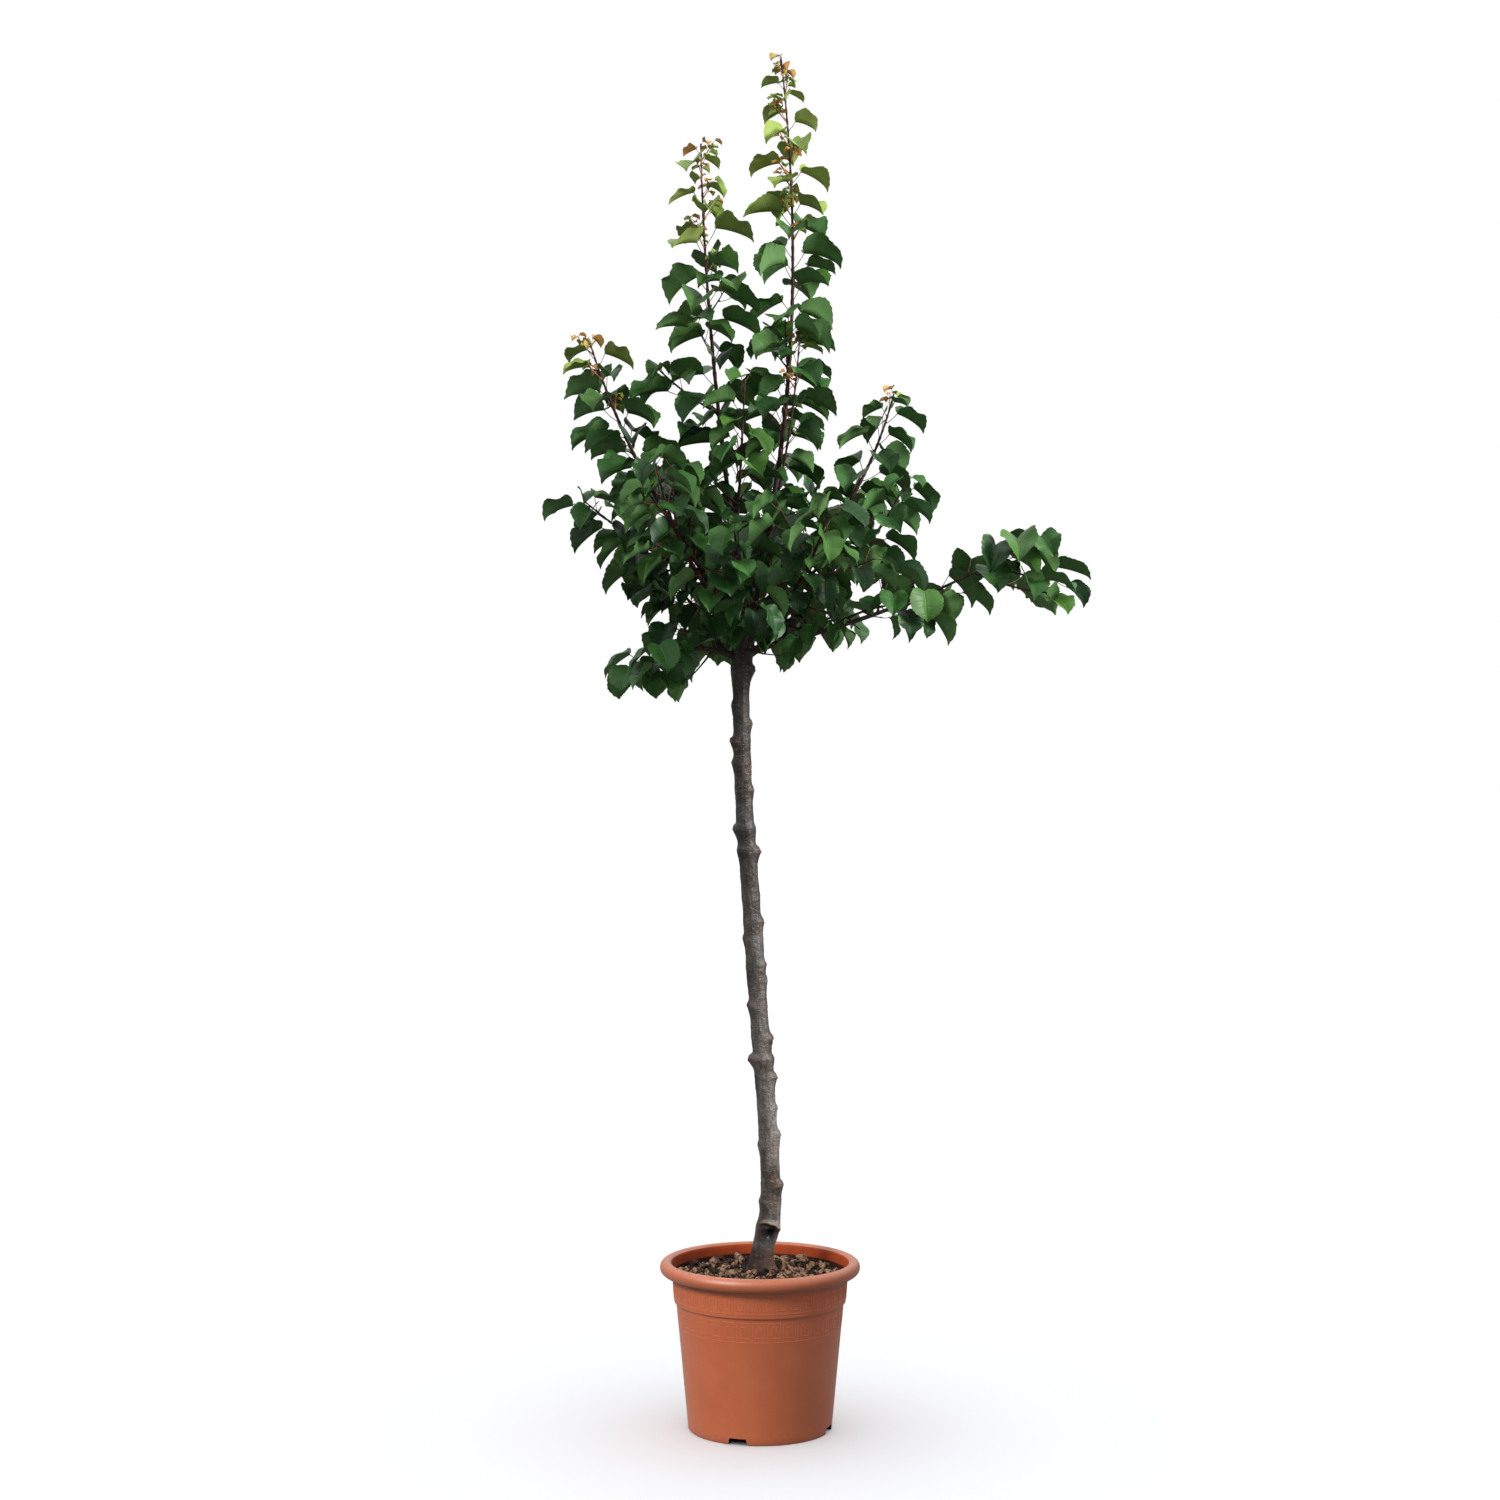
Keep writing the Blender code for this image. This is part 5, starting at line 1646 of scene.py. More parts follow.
# %% The coarse leaf's corners and faces
LEAF_WIDTH = 1.04
LEAF_THICKNESS = 0.0012
PETIOLE_RADIUS = 0.0012
ROOT_RADIUS = 0.0006
SHOULDER = (0.05, 0.80)
FLANK = (0.60, 0.96)
MIDDLE = 0.5
PETIOLE_FACES = [(0, 2, 1), (0, 1, 4, 3), (1, 2, 5, 4), (2, 0, 3, 5)]
BLADE_FACES = [
    (3, 4, 10), (3, 10, 6), (6, 10, 7), (7, 10, 12), (12, 10, 9), (9, 10, 8), (8, 10, 4),
    (3, 6, 5), (5, 6, 11), (6, 7, 11), (7, 12, 11), (12, 9, 11), (9, 8, 11), (8, 5, 11), (5, 8, 4),
]
LEAF_FACES = PETIOLE_FACES + BLADE_FACES


def coarse_corners(leaf, clear):
    """The corners of the coarse leaf, with some clear room round it."""
    girth = PETIOLE_RADIUS + clear
    core = ROOT_RADIUS + clear
    foot, across, out = blade_frame(leaf, 0)
    side = leaf["heading"].cross(UP)
    below = leaf["petiole"].cross(side)
    mitre = (leaf["petiole"] + out.cross(across)).cross(side).normalized()
    root = leaf["root"]
    corners = [root - side * core, root + side * core, root + below * core]
    corners += [blade_edge(leaf, 0, girth, -1), blade_edge(leaf, 0, girth, 1), foot + mitre * girth]
    for sign in (-1, 1):
        for share, width in (SHOULDER, FLANK):
            half = LEAF_WIDTH * leaf["length"] / 2 * width + clear
            corners.append(blade_edge(leaf, share, half, sign))
    middle, _, out = blade_frame(leaf, MIDDLE)
    thick = LEAF_THICKNESS / 2 + clear
    corners += [middle + out * thick, middle - out * thick, blade_frame(leaf, 1 + clear)[0]]
    return corners


# %% The edges of the crown
BOX_MARGIN = 0.004
UNDERSIDE = [
    (-0.310, 1.440), (-0.150, 1.440), (-0.135, 1.505), (-0.070, 1.530), (0.030, 1.530),
    (0.050, 1.485), (0.080, 1.485), (0.100, 1.555), (0.200, 1.560), (0.230, 1.590),
    (0.270, 1.545), (0.400, 1.545), (0.440, 1.610),
]


def under_crown(corner):
    """Whether a point is lower than the crown's underside, where the photograph shows sky."""
    across, lowest = zip(*UNDERSIDE)
    return corner.z < np.interp(corner.x, across, lowest)


def in_reach(corners, low, high):
    """Whether all the corners lie in a box, as the coarse model's leaves do."""
    return all(
        low[k] - BOX_MARGIN <= corner[k] <= high[k] + BOX_MARGIN
        for corner in corners for k in range(3)
    )


# %% The test of a leaf
SHARPEST_TURN = -0.25
CLEARANCE = 0.0010
BLADE_CORNERS = slice(6, None)


def leaf_shape(leaf, faces, clear):
    """A coarse leaf as a shape for the tests, with some clear room round it."""
    return BVHTree.FromPolygons(coarse_corners(leaf, clear), faces)


def leaf_fits(leaf, reach, own_stems, others, placed):
    """Whether a leaf stays in reach, bends little at its foot and clears limbs and leaves."""
    _, across, out = blade_frame(leaf, 0)
    if leaf["petiole"].dot(out.cross(across)) < SHARPEST_TURN:
        return False
    blade_corners = coarse_corners(leaf, 0)[BLADE_CORNERS]
    if not in_reach(blade_corners, *reach) or any(under_crown(corner) for corner in blade_corners):
        return False
    whole = leaf_shape(leaf, LEAF_FACES, CLEARANCE)
    blade = leaf_shape(leaf, BLADE_FACES, CLEARANCE)
    if any(blade.overlap(stem) for stem in own_stems):
        return False
    if any(whole.overlap(limb) for limb in others):
        return False
    middle = blade_frame(leaf, MIDDLE)[0]
    size = leaf["length"] + leaf["petiole_length"]
    near = (shape for place, other, shape in placed if (place - middle).length < size + other)
    return not any(whole.overlap(shape) for shape in near)


# %% Growing the leaves of one twig
LEAF_CROWDING = 0.88
LEAF_OFFSET = 0.8
LAST_LEAF = 0.99
TRIES = 10


def grow_twig(shoot, twig, reach, own_stems, others, placed):
    """The leaves of one twig, from its tip down. One that fits nowhere is skipped."""
    grown = []
    for number in reversed(range(twig["leaves"])):
        step = ((number + LEAF_OFFSET) / twig["leaves"]) ** LEAF_CROWDING
        share = twig["bare"] + (1 - twig["bare"]) * step
        for attempt in range(TRIES):
            leaf = leaf_at(shoot, twig, min(share, LAST_LEAF), number, attempt)
            if leaf_fits(leaf, reach, own_stems, others, placed):
                grown.append(leaf)
                middle = blade_frame(leaf, MIDDLE)[0]
                size = leaf["length"] + leaf["petiole_length"]
                placed.append((middle, size, leaf_shape(leaf, LEAF_FACES, 0)))
                break
    return grown


# %% Shapes for the tests
TEST_POINTS = 8
TEST_SIDES = 3


def twig_path(twig, count):
    """Points along a twig, from its foot to its tip."""
    low, high = twig["span"]
    return [bend(twig["curve"], low + (high - low) * i / (count - 1)) for i in range(count)]


def twig_shape(twig):
    """A coarse tube round a twig, for the tests."""
    path = twig_path(twig, TEST_POINTS)
    radii = np.linspace(twig["radii"][0], twig["radii"][1], TEST_POINTS)
    corners, faces = sweep([tuple(point) for point in path], radii, TEST_SIDES)
    return BVHTree.FromPolygons([Vector(corner) for corner in corners], faces)


def node_shape(name):
    """A CAD node's mesh, for the tests."""
    mesh = frame["nodes"][name].data
    corners = [vert.co.copy() for vert in mesh.vertices]
    return BVHTree.FromPolygons(corners, [tuple(face.vertices) for face in mesh.polygons])


# %% The twigs, each kept only if it has room
limb_shapes = {name: node_shape(name) for name in ["trunk"] + BOUGHS}
twigs = {shoot["name"]: [stem_twig(shoot)] for shoot in SHOOTS}
twig_shapes = {name: [twig_shape(stem)] for name, (stem,) in twigs.items()}


def shapes_of_others(name):
    """The test shapes of all twigs but those of one shoot."""
    return [shape for key, own in twig_shapes.items() if key != name for shape in own]


def add_twig(name, twig, limbs):
    """Keeps a side twig if it clears these limbs and every twig but its own stem."""
    shape = twig_shape(twig)
    clear_of = limbs + shapes_of_others(name) + twig_shapes[name][1:]
    hangs_low = any(under_crown(point) for point in twig["curve"][1:])
    if not hangs_low and not any(shape.overlap(other) for other in clear_of):
        twigs[name].append(twig)
        twig_shapes[name].append(shape)


for shoot in SHOOTS:
    name = shoot["name"]
    for number in range(shoot["sprays"]):
        add_twig(name, spray_twig(shoot, twigs[name][0], number), list(limb_shapes.values()))
for shoot in SHOOTS:
    name = shoot["name"]
    for kind, count in SPUR_COUNTS.get(name, USUAL_SPURS).items():
        for number in range(count):
            spur = spur_twig(shoot, twigs[name][0], kind, number, count)
            parent = name + "_bough" if kind == "inner" else None
            limbs = [shape for limb, shape in limb_shapes.items() if limb != parent]
            add_twig(name, spur, limbs)
print(sum(len(own) for own in twigs.values()), "twigs")

# %% The leaves, those of the coarse model first
leaves = []
placed = []
for coarse_first in (True, False):
    for shoot in SHOOTS:
        name = shoot["name"]
        others = list(limb_shapes.values()) + shapes_of_others(name)
        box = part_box(name)
        for twig in twigs[name]:
            if (twig["kind"] in COARSE_KINDS) != coarse_first:
                continue
            reach = CAD_BOX if twig["kind"] == "inner" else box
            grown = grow_twig(shoot, twig, reach, twig_shapes[name], others, placed)
            twig["carries"] = len(grown)
            leaves += grown
for name, own in twigs.items():
    twigs[name] = [twig for twig in own if twig["carries"] or twig["kind"] in COARSE_KINDS]
print(len(leaves), "leaves on", sum(len(own) for own in twigs.values()), "twigs")

# %% [markdown]
# ## One fine leaf
#
# An apricot leaf is nearly as broad as long, with a shallow heart-shaped base, finely toothed
# edges and a short drawn-out tip that curls down. It is modelled flat, as rows that run from the
# midrib out to the edge along the side veins, and then bent: the midrib is an arc, each wing
# rises from it and opens towards the edge, and the edge ripples. The top and bottom are separate
# sheets that meet at the edge, so the leaf is a closed thin lens, and its paler underside shows
# from below.

# %% The outline of the flat leaf
LEAF_ROWS = 24
LEAF_COLUMNS = 3
OUTLINE = np.array([
    (0.00, 0.000, 0.00), (0.08, -0.045, 0.27), (0.16, -0.040, 0.55), (0.25, 0.030, 0.80),
    (0.35, 0.145, 0.95), (0.45, 0.285, 1.01), (0.55, 0.430, 1.01), (0.65, 0.570, 0.94),
    (0.74, 0.690, 0.80), (0.81, 0.780, 0.61), (0.87, 0.850, 0.38), (0.93, 0.915, 0.14),
    (1.00, 1.000, 0.00),
])
VEIN_LEAN = 1.8

row_share = np.arange(LEAF_ROWS + 1) / LEAF_ROWS
edge_along = np.interp(row_share, OUTLINE[:, 0], OUTLINE[:, 1])
edge_out = np.interp(row_share, OUTLINE[:, 0], OUTLINE[:, 2])
spine = row_share**VEIN_LEAN

# %% The corners and faces of the flat leaf
TOP, UNDER = 0, 1

leaf_corners = []
corner_number = {}


def corner_of(row, column, sign, sheet):
    """The number of a corner. The wings share the midrib, and the sheets share the edge."""
    if row in (0, LEAF_ROWS):
        column = 0
    if column == 0:
        sign = 0
    if column == LEAF_COLUMNS or row in (0, LEAF_ROWS):
        sheet = TOP
    key = (row, column, sign, sheet)
    if key not in corner_number:
        corner_number[key] = len(leaf_corners)
        leaf_corners.append(key)
    return corner_number[key]


def cell_corners(row, column):
    """The row and column of each corner of one cell of a wing."""
    return [(row, column), (row, column + 1), (row + 1, column + 1), (row + 1, column)]


sheet_faces = {TOP: [], UNDER: []}
for sheet in (TOP, UNDER):
    for sign in (-1, 1):
        for row in range(LEAF_ROWS):
            for column in range(LEAF_COLUMNS):
                named = [corner_of(*cell, sign, sheet) for cell in cell_corners(row, column)]
                face = list(dict.fromkeys(named))
                if (sign > 0) != (sheet == TOP):
                    face.reverse()
                if len(face) > 2:
                    sheet_faces[sheet].append(tuple(face))
leaf_faces = sheet_faces[TOP] + sheet_faces[UNDER]
LEAF_ROW, LEAF_COLUMN, LEAF_SIGN, LEAF_SHEET = np.array(leaf_corners).T
AT_EDGE = (LEAF_COLUMN == LEAF_COLUMNS) | (LEAF_ROW == 0) | (LEAF_ROW == LEAF_ROWS)
print("one leaf:", len(leaf_faces), "faces")

# %% [markdown]
# ## Bending the leaf
#
# No two leaves are alike, so each one draws its own shape from its own seed: how far the wings
# open, which wing is flatter, how much the blade twists and how its edge waves and notches. The
# midrib follows a gentle arc, and its last fifth, the drip tip, bends further.

# %% The ranges that each leaf draws from
BLADE_THICKNESS = 0.0005
STRAIGHTEN = 0.58
LOWER = 0.21
TOOTH_OUT = 0.030
TOOTH_FORWARD = 0.012
WOBBLE = 0.055
FOLD_AT_MIDRIB = 1.12
FOLD_OPENS = (0.15, 0.95)
LOPSIDED = 0.24
TWIST = 26
DRIP_FROM = 0.76
DRIP_CURL = (0.2, 1.1)
SWAY = 0.07
WAVE = (0.025, 0.095)
WAVES = (1.4, 3.2)
WIDTH_RANGE = (0.86, 1.03)
ROUND = 6.28
WINGS_APART = (0.5, 2.5)
TWIST_ABOUT = 0.3
SWAY_FROM = 0.5
LEAST_OPENING = 0.01
LONG_TOOTH = (0.2, 1.2)
SHORT_TOOTH = (0, 0.7)
WOBBLE_STEP = 0.33
WOBBLE_RANGE = 500
WOBBLE_WINGS = 9.1
ARC_STEPS = np.linspace(0, 1, 25)
LEAF_SCALE = {
    "right_hanging": 0.82, "right_low": 0.84, "left_low": 0.84, "left_mid": 0.88,
    "left_outer": 0.92, "right_mid": 0.92, "right_upper": 0.90, "red_shoot": 0.88,
    "front_left": 0.88, "front_right": 0.84, "front_centre": 0.86, "front_low": 0.84,
    "centre_up": 0.88,
}


# %% The edge and the midrib of one leaf
def own_edge(chance):
    """The reach of each edge corner along and out, with this leaf's own teeth and wobble."""
    along, out = np.empty((2, LEAF_ROWS + 1)), np.empty((2, LEAF_ROWS + 1))
    shift = chance.uniform(0, WOBBLE_RANGE)
    for wing in (0, 1):
        for row in range(LEAF_ROWS + 1):
            tooth = chance.uniform(*LONG_TOOTH) if row % 2 else -chance.uniform(*SHORT_TOOTH)
            wobble = noise.noise(Vector((shift, row * WOBBLE_STEP, wing * WOBBLE_WINGS)))
            out[wing, row] = edge_out[row] * (1 + TOOTH_OUT * tooth + WOBBLE * wobble)
            along[wing, row] = edge_along[row] + TOOTH_FORWARD * tooth * (0 < row < LEAF_ROWS)
    return along, out


def bent_midrib(leaf, drip, share):
    """How far forward and up the midrib is at each share, and its pitch there."""
    start = leaf["pitch"] - LOWER * leaf["curl"]

    def pitch_at(place):
        last = np.clip((place - DRIP_FROM) / (1 - DRIP_FROM), 0, None) ** 2
        return start - STRAIGHTEN * leaf["curl"] * np.clip(place, 0, None) - drip * last

    middles = (ARC_STEPS[1:] + ARC_STEPS[:-1]) / 2
    ahead = np.concatenate([[0], np.cumsum(np.cos(pitch_at(middles)))]) / len(middles)
    above = np.concatenate([[0], np.cumsum(np.sin(pitch_at(middles)))]) / len(middles)
    behind = np.minimum(share, 0)
    forward = np.interp(share, ARC_STEPS, ahead) + behind * math.cos(start)
    upward = np.interp(share, ARC_STEPS, above) + behind * math.sin(start)
    return forward, upward, pitch_at(share)


# %% One bent leaf
def bent_leaf(leaf):
    """The corners of the fine leaf in its place on the tree."""
    chance = random.Random(f"blade {tuple(leaf['root'])}")
    length = leaf["length"] * LEAF_SCALE.get(leaf["shoot"], 1)
    along, out = own_edge(chance)
    wing = (LEAF_SIGN > 0).astype(int)
    reach = LEAF_COLUMN / LEAF_COLUMNS
    share = spine[LEAF_ROW] + (along[wing, LEAF_ROW] - spine[LEAF_ROW]) * reach
    out = out[wing, LEAF_ROW] * reach
    forward, upward, pitch = bent_midrib(leaf, chance.uniform(*DRIP_CURL), share)

    head, up, side = (np.array(axis) for axis in (leaf["heading"], UP, leaf["heading"].cross(UP)))
    foot = np.array(leaf["root"] + leaf["petiole"] * leaf["petiole_length"])
    outer_part = np.clip((share - SWAY_FROM) / (1 - SWAY_FROM), 0, None)
    sway = chance.uniform(-SWAY, SWAY) * outer_part**2
    arc = forward[:, None] * head + upward[:, None] * up + sway[:, None] * side
    middle = foot + length * arc
    straight_out = np.cos(pitch)[:, None] * up - np.sin(pitch)[:, None] * head
    twist = math.radians(chance.uniform(-TWIST, TWIST))
    roll = (leaf["roll"] + twist * (share - TWIST_ABOUT))[:, None]
    across = side * np.cos(roll) + straight_out * np.sin(roll)
    away = straight_out * np.cos(roll) - side * np.sin(roll)

    half = LEAF_WIDTH * length / 2 * chance.uniform(*WIDTH_RANGE)
    flatter = chance.uniform(-LOPSIDED, LOPSIDED)
    first = leaf["fold"] * FOLD_AT_MIDRIB * (1 + flatter * LEAF_SIGN)
    opens = first * chance.uniform(*FOLD_OPENS) + LEAST_OPENING
    slope = first - opens * out
    sideways = half * (np.sin(first) - np.sin(slope)) / opens
    lifted = half * (np.cos(slope) - np.cos(first)) / opens
    phase = chance.uniform(0, ROUND) + LEAF_SIGN * chance.uniform(*WINGS_APART)
    wave = np.sin(phase + LEAF_ROW / LEAF_ROWS * chance.uniform(*WAVES) * ROUND)
    lifted = lifted + chance.uniform(*WAVE) * length * wave * out**2
    corners = middle + across * (LEAF_SIGN * sideways)[:, None] + away * lifted[:, None]
    sunk = (LEAF_SHEET == UNDER) * BLADE_THICKNESS
    normal = away * np.cos(slope)[:, None] - across * (LEAF_SIGN * np.sin(slope))[:, None]
    return corners - normal * sunk[:, None]


# %% [markdown]
# ## Leaf finishes
#
# The upper side is a waxy green with a paler midrib and side veins, the lower side a dull grey
# green, made brighter with painted light that stands for light shining through the leaf. Every leaf
# differs a little in tone, by a random number that Cycles gives each loose island of the mesh. The
# veins follow the rows of the leaf, whose numbers are stored as its UV map: u runs from the stalk
# to the tip, and v from edge to edge. The young leaves at the tips are yellow green or bronze, and
# their undersides have painted light too. They are pieces of their own with their own base colour.

# %% The leaf pattern
MIDRIB_EDGES = (0.012, 0.035)
SIDE_VEINS = 6.5
VEIN_EDGES = (0.02, 0.10)

leaf_pattern, take, give = new_group(
    "leaf_pattern",
    [("Blade", "Color", (0, 0.1, 0, 1)), ("Shade", "Color", (0, 0.05, 0, 1)),
     ("Vein", "Color", (0.3, 0.4, 0.1, 1)), ("Vein Amount", "Float", 0.5)],
    [("Colour", "Color"), ("Height", "Float")],
)
leaf_place = add(leaf_pattern, "UVMap").outputs["UV"]
map_place = add(leaf_pattern, "SeparateXYZ", {"Vector": leaf_place})
row, column = map_place.outputs["X"], map_place.outputs["Y"]
off_middle = maths(leaf_pattern, "ABSOLUTE", maths(leaf_pattern, "SUBTRACT", column, 0.5))
midrib = fade_out(leaf_pattern, off_middle, *MIDRIB_EDGES)
cycle = maths(leaf_pattern, "FRACT", maths(leaf_pattern, "MULTIPLY", row, SIDE_VEINS))
off_vein = maths(leaf_pattern, "ABSOLUTE", maths(leaf_pattern, "SUBTRACT", cycle, 0.5))
fade = maths(leaf_pattern, "SUBTRACT", 0.5, off_middle)
side_vein = fade_out(leaf_pattern, off_vein, *VEIN_EDGES)
side_vein = maths(leaf_pattern, "MULTIPLY", side_vein, fade)
veins = maths(leaf_pattern, "MAXIMUM", midrib, side_vein)
island = add(leaf_pattern, "NewGeometry").outputs["Random Per Island"]
own_tone = mixed(leaf_pattern, island, take["Blade"], take["Shade"])
vein_mask = maths(leaf_pattern, "MULTIPLY", veins, take["Vein Amount"])
leaf_pattern.links.new(mixed(leaf_pattern, vein_mask, own_tone, take["Vein"]), give["Colour"])
leaf_pattern.links.new(maths(leaf_pattern, "SUBTRACT", 1, veins), give["Height"])


# %% Finishes of the blades
LEAF_GLOSS = 0.22
VEIN_DEPTH = 0.0009


def leaf_material(name, blade, shade, vein, roughness, vein_amount):
    """One side of the leaves of one tone."""
    blade, shade, vein = srgb(*blade), srgb(*shade), srgb(*vein)
    made, tree, shader = new_material(name, roughness, gloss=LEAF_GLOSS)
    pattern = place_group(
        tree, leaf_pattern, Blade=blade, Shade=shade, Vein=vein, Vein_Amount=vein_amount
    )
    tone = place_group(tree, blotches, First=pattern["Colour"], Second=shade, Scale=45, Amount=0.35)
    tree.links.new(tone["Colour"], shader.inputs["Base Color"])
    raise_bump(tree, shader, pattern["Height"], VEIN_DEPTH)
    return made


# Each row: blade, its second tone, veins, roughness, and how clearly the veins show
LEAF_FINISHES = {
    # The shaded leaf is a darker copy of the greens: painted shade.
    "shaded_leaf": ((37, 74, 31), (25, 52, 23), (74, 108, 52), 0.42, 0.40),
    "deep_leaf": ((60, 106, 46), (43, 82, 36), (102, 136, 70), 0.40, 0.45),
    "fresh_leaf": ((76, 118, 50), (59, 98, 42), (114, 142, 77), 0.40, 0.45),
    "young_leaf": ((157, 178, 86), (128, 156, 72), (184, 188, 116), 0.42, 0.40),
    "bronze_leaf": ((220, 148, 90), (172, 156, 84), (220, 168, 112), 0.42, 0.40),
    # The undersides are painted brighter than their own tone: painted light shining through the
    # leaf.
    "glow_painted_underside": ((96, 136, 76), (72, 112, 60), (138, 162, 104), 0.62, 0.70),
    "glow_painted_young_underside": ((150, 168, 88), (124, 146, 72), (172, 172, 106), 0.60, 0.60),
    "glow_painted_bronze_underside": ((216, 150, 90), (180, 146, 82), (222, 164, 110), 0.60, 0.60),
}
SIDES_OF_TONE = {
    "leaves_shaded": ("shaded_leaf", "glow_painted_underside"),
    "leaves_deep": ("deep_leaf", "glow_painted_underside"),
    "leaves_fresh": ("fresh_leaf", "glow_painted_underside"),
    "leaves_young": ("young_leaf", "glow_painted_young_underside"),
    "leaves_bronze": ("bronze_leaf", "glow_painted_bronze_underside"),
}

leaf_sides = {name: leaf_material(name, *looks) for name, looks in LEAF_FINISHES.items()}
print("leaf finishes:", list(leaf_sides))

# %% [markdown]
# ## Dealing the leaves out by tone
#
# A young apricot leaf unfolds bronze, turns yellow green and then deepens, so the tips of the tall
# shoots are bronze and the leaves below them fresh. The dark tone is painted shade: most leaves
# inside the crown take it, and some others too. The hanging shoots get few fresh leaves, which is
# painted shade as well. One mesh could hold all leaves and a colour for each, but a piece for each
# tone stays small, and each tone has its own underside.

# %% The tone of each leaf
YOUNG_ABOVE = {"leader_right": 0.62, "leader_left": 0.66, "left_upper": 0.80, "red_shoot": 0.85}
FRESH_ABOVE = {"leader_right": 0.30, "leader_left": 0.36, "left_upper": 0.50, "right_upper": 0.60}
BRONZE_TIPS = {"leader_right", "leader_left", "left_upper", "red_shoot", "right_upper"}
BRONZE_ABOVE = 0.90
BRONZE_SIZE = 0.4
YOUNG_BRONZE_SHARE = 0.5
HANGING_FROM = 0.7
HANGING = {shoot["name"] for shoot in SHOOTS if shoot["hang"] >= HANGING_FROM}
FRESH_SHARE = 0.28
# Fewer fresh leaves on the hanging shoots: painted shade.
HANGING_FRESH_SHARE = 0.10
TOP_FRESH_SHARE = 0.62
# Shares of leaves that take the darker tone: painted shade.
SHADED_SHARE = 0.38
INNER_SHADED_SHARE = 0.75


def tone_of(leaf):
    """Which tone a leaf has, from its twig, its place on it and a seeded draw."""
    chance = random.Random(f"tone {tuple(leaf['root'])} {leaf['share']}")
    if leaf["kind"] == "young":
        return "leaves_bronze" if chance.random() < YOUNG_BRONZE_SHARE else "leaves_young"
    if leaf["kind"] == "stem" and leaf["shoot"] in BRONZE_TIPS and leaf["share"] > BRONZE_ABOVE:
        return "leaves_bronze" if leaf["size"] < BRONZE_SIZE else "leaves_young"
    if leaf["kind"] == "stem" and leaf["share"] > YOUNG_ABOVE.get(leaf["shoot"], 1):
        return "leaves_young"
    draw = chance.random()
    if leaf["kind"] == "inner":
        return "leaves_shaded" if draw < INNER_SHADED_SHARE else "leaves_deep"
    if leaf["share"] > FRESH_ABOVE.get(leaf["shoot"], 1):
        return "leaves_fresh" if draw < TOP_FRESH_SHARE else "leaves_deep"
    if draw < (HANGING_FRESH_SHARE if leaf["shoot"] in HANGING else FRESH_SHARE):
        return "leaves_fresh"
    return "leaves_shaded" if draw > 1 - SHADED_SHARE else "leaves_deep"


by_tone = {tone: [] for tone in SIDES_OF_TONE}
for leaf in leaves:
    by_tone[tone_of(leaf)].append(leaf)
print({tone: len(own) for tone, own in by_tone.items()})


# %% Joining the fine leaves
def leaf_object(name, own, finishes):
    """All leaves of one tone as one mesh, with a UV map and a crease round every edge."""
    blades = [(bent_leaf(leaf), leaf_faces) for leaf in own]
    obj = joined(name, blades, finishes)
    mesh = obj.data
    sheets = [TOP] * len(sheet_faces[TOP]) + [UNDER] * len(sheet_faces[UNDER])
    sheet_of_face = np.tile(np.array(sheets, dtype=np.int32), len(own))
    mesh.polygons.foreach_set("material_index", sheet_of_face)
    uv = mesh.uv_layers.new(name="UVMap")
    index = np.empty(len(mesh.loops), dtype=np.int32)
    mesh.loops.foreach_get("vertex_index", index)
    across = 0.5 + LEAF_SIGN * LEAF_COLUMN / LEAF_COLUMNS / 2
    leaf_map = np.tile(np.stack([LEAF_ROW / LEAF_ROWS, across], axis=1), (len(own), 1))
    uv.data.foreach_set("uv", leaf_map[index].astype(np.float32).ravel())
    edges = np.empty(len(mesh.edges) * 2, dtype=np.int32)
    mesh.edges.foreach_get("vertices", edges)
    on_edge = np.tile(AT_EDGE, len(own))[edges.reshape(-1, 2)].all(axis=1)
    crease = mesh.attributes.new("sharp_edge", "BOOLEAN", "EDGE")
    crease.data.foreach_set("value", on_edge)
    return obj


for tone, own in by_tone.items():
    piece = leaf_object(tone, own, [leaf_sides[side] for side in SIDES_OF_TONE[tone]])
    settle(piece, "foliage", *MASSES)

# %% [markdown]
# ## Boughs, stems, stalks and buds
#
# A limb thickens into a collar where it leaves its parent, and swells a little at each leaf.
# Older wood is grey brown like the trunk. The young wood is smooth and red brown. The leaf stalks
# are thin and dark red, and those of the youngest leaves are as pale as their blades. Each stalk
# sags a little, and has a bud in the angle above its foot. They are swept tubes again, with fewer
# sides the thinner they are.

# %% Paths with a collar and swollen leaf joints
BOUGH_STEP = 0.006
STEM_STEP = 0.005
FEWEST_RINGS = 6
LENGTH_STEPS = 20
UNEVEN = 0.07
UNEVEN_ROUND = 0.9
UNEVEN_ALONG = 70
UNEVEN_APART = 100
COLLAR_SWELL = 0.55
COLLAR_REACH = 0.016
JOINT_SWELL = 0.0009
JOINT_HALF = 0.004


def curve_length(curve, low, high):
    """The length of a curve between two of its fractions."""
    points = [bend(curve, low + (high - low) * i / LENGTH_STEPS) for i in range(LENGTH_STEPS + 1)]
    return sum((b - a).length for a, b in zip(points, points[1:]))


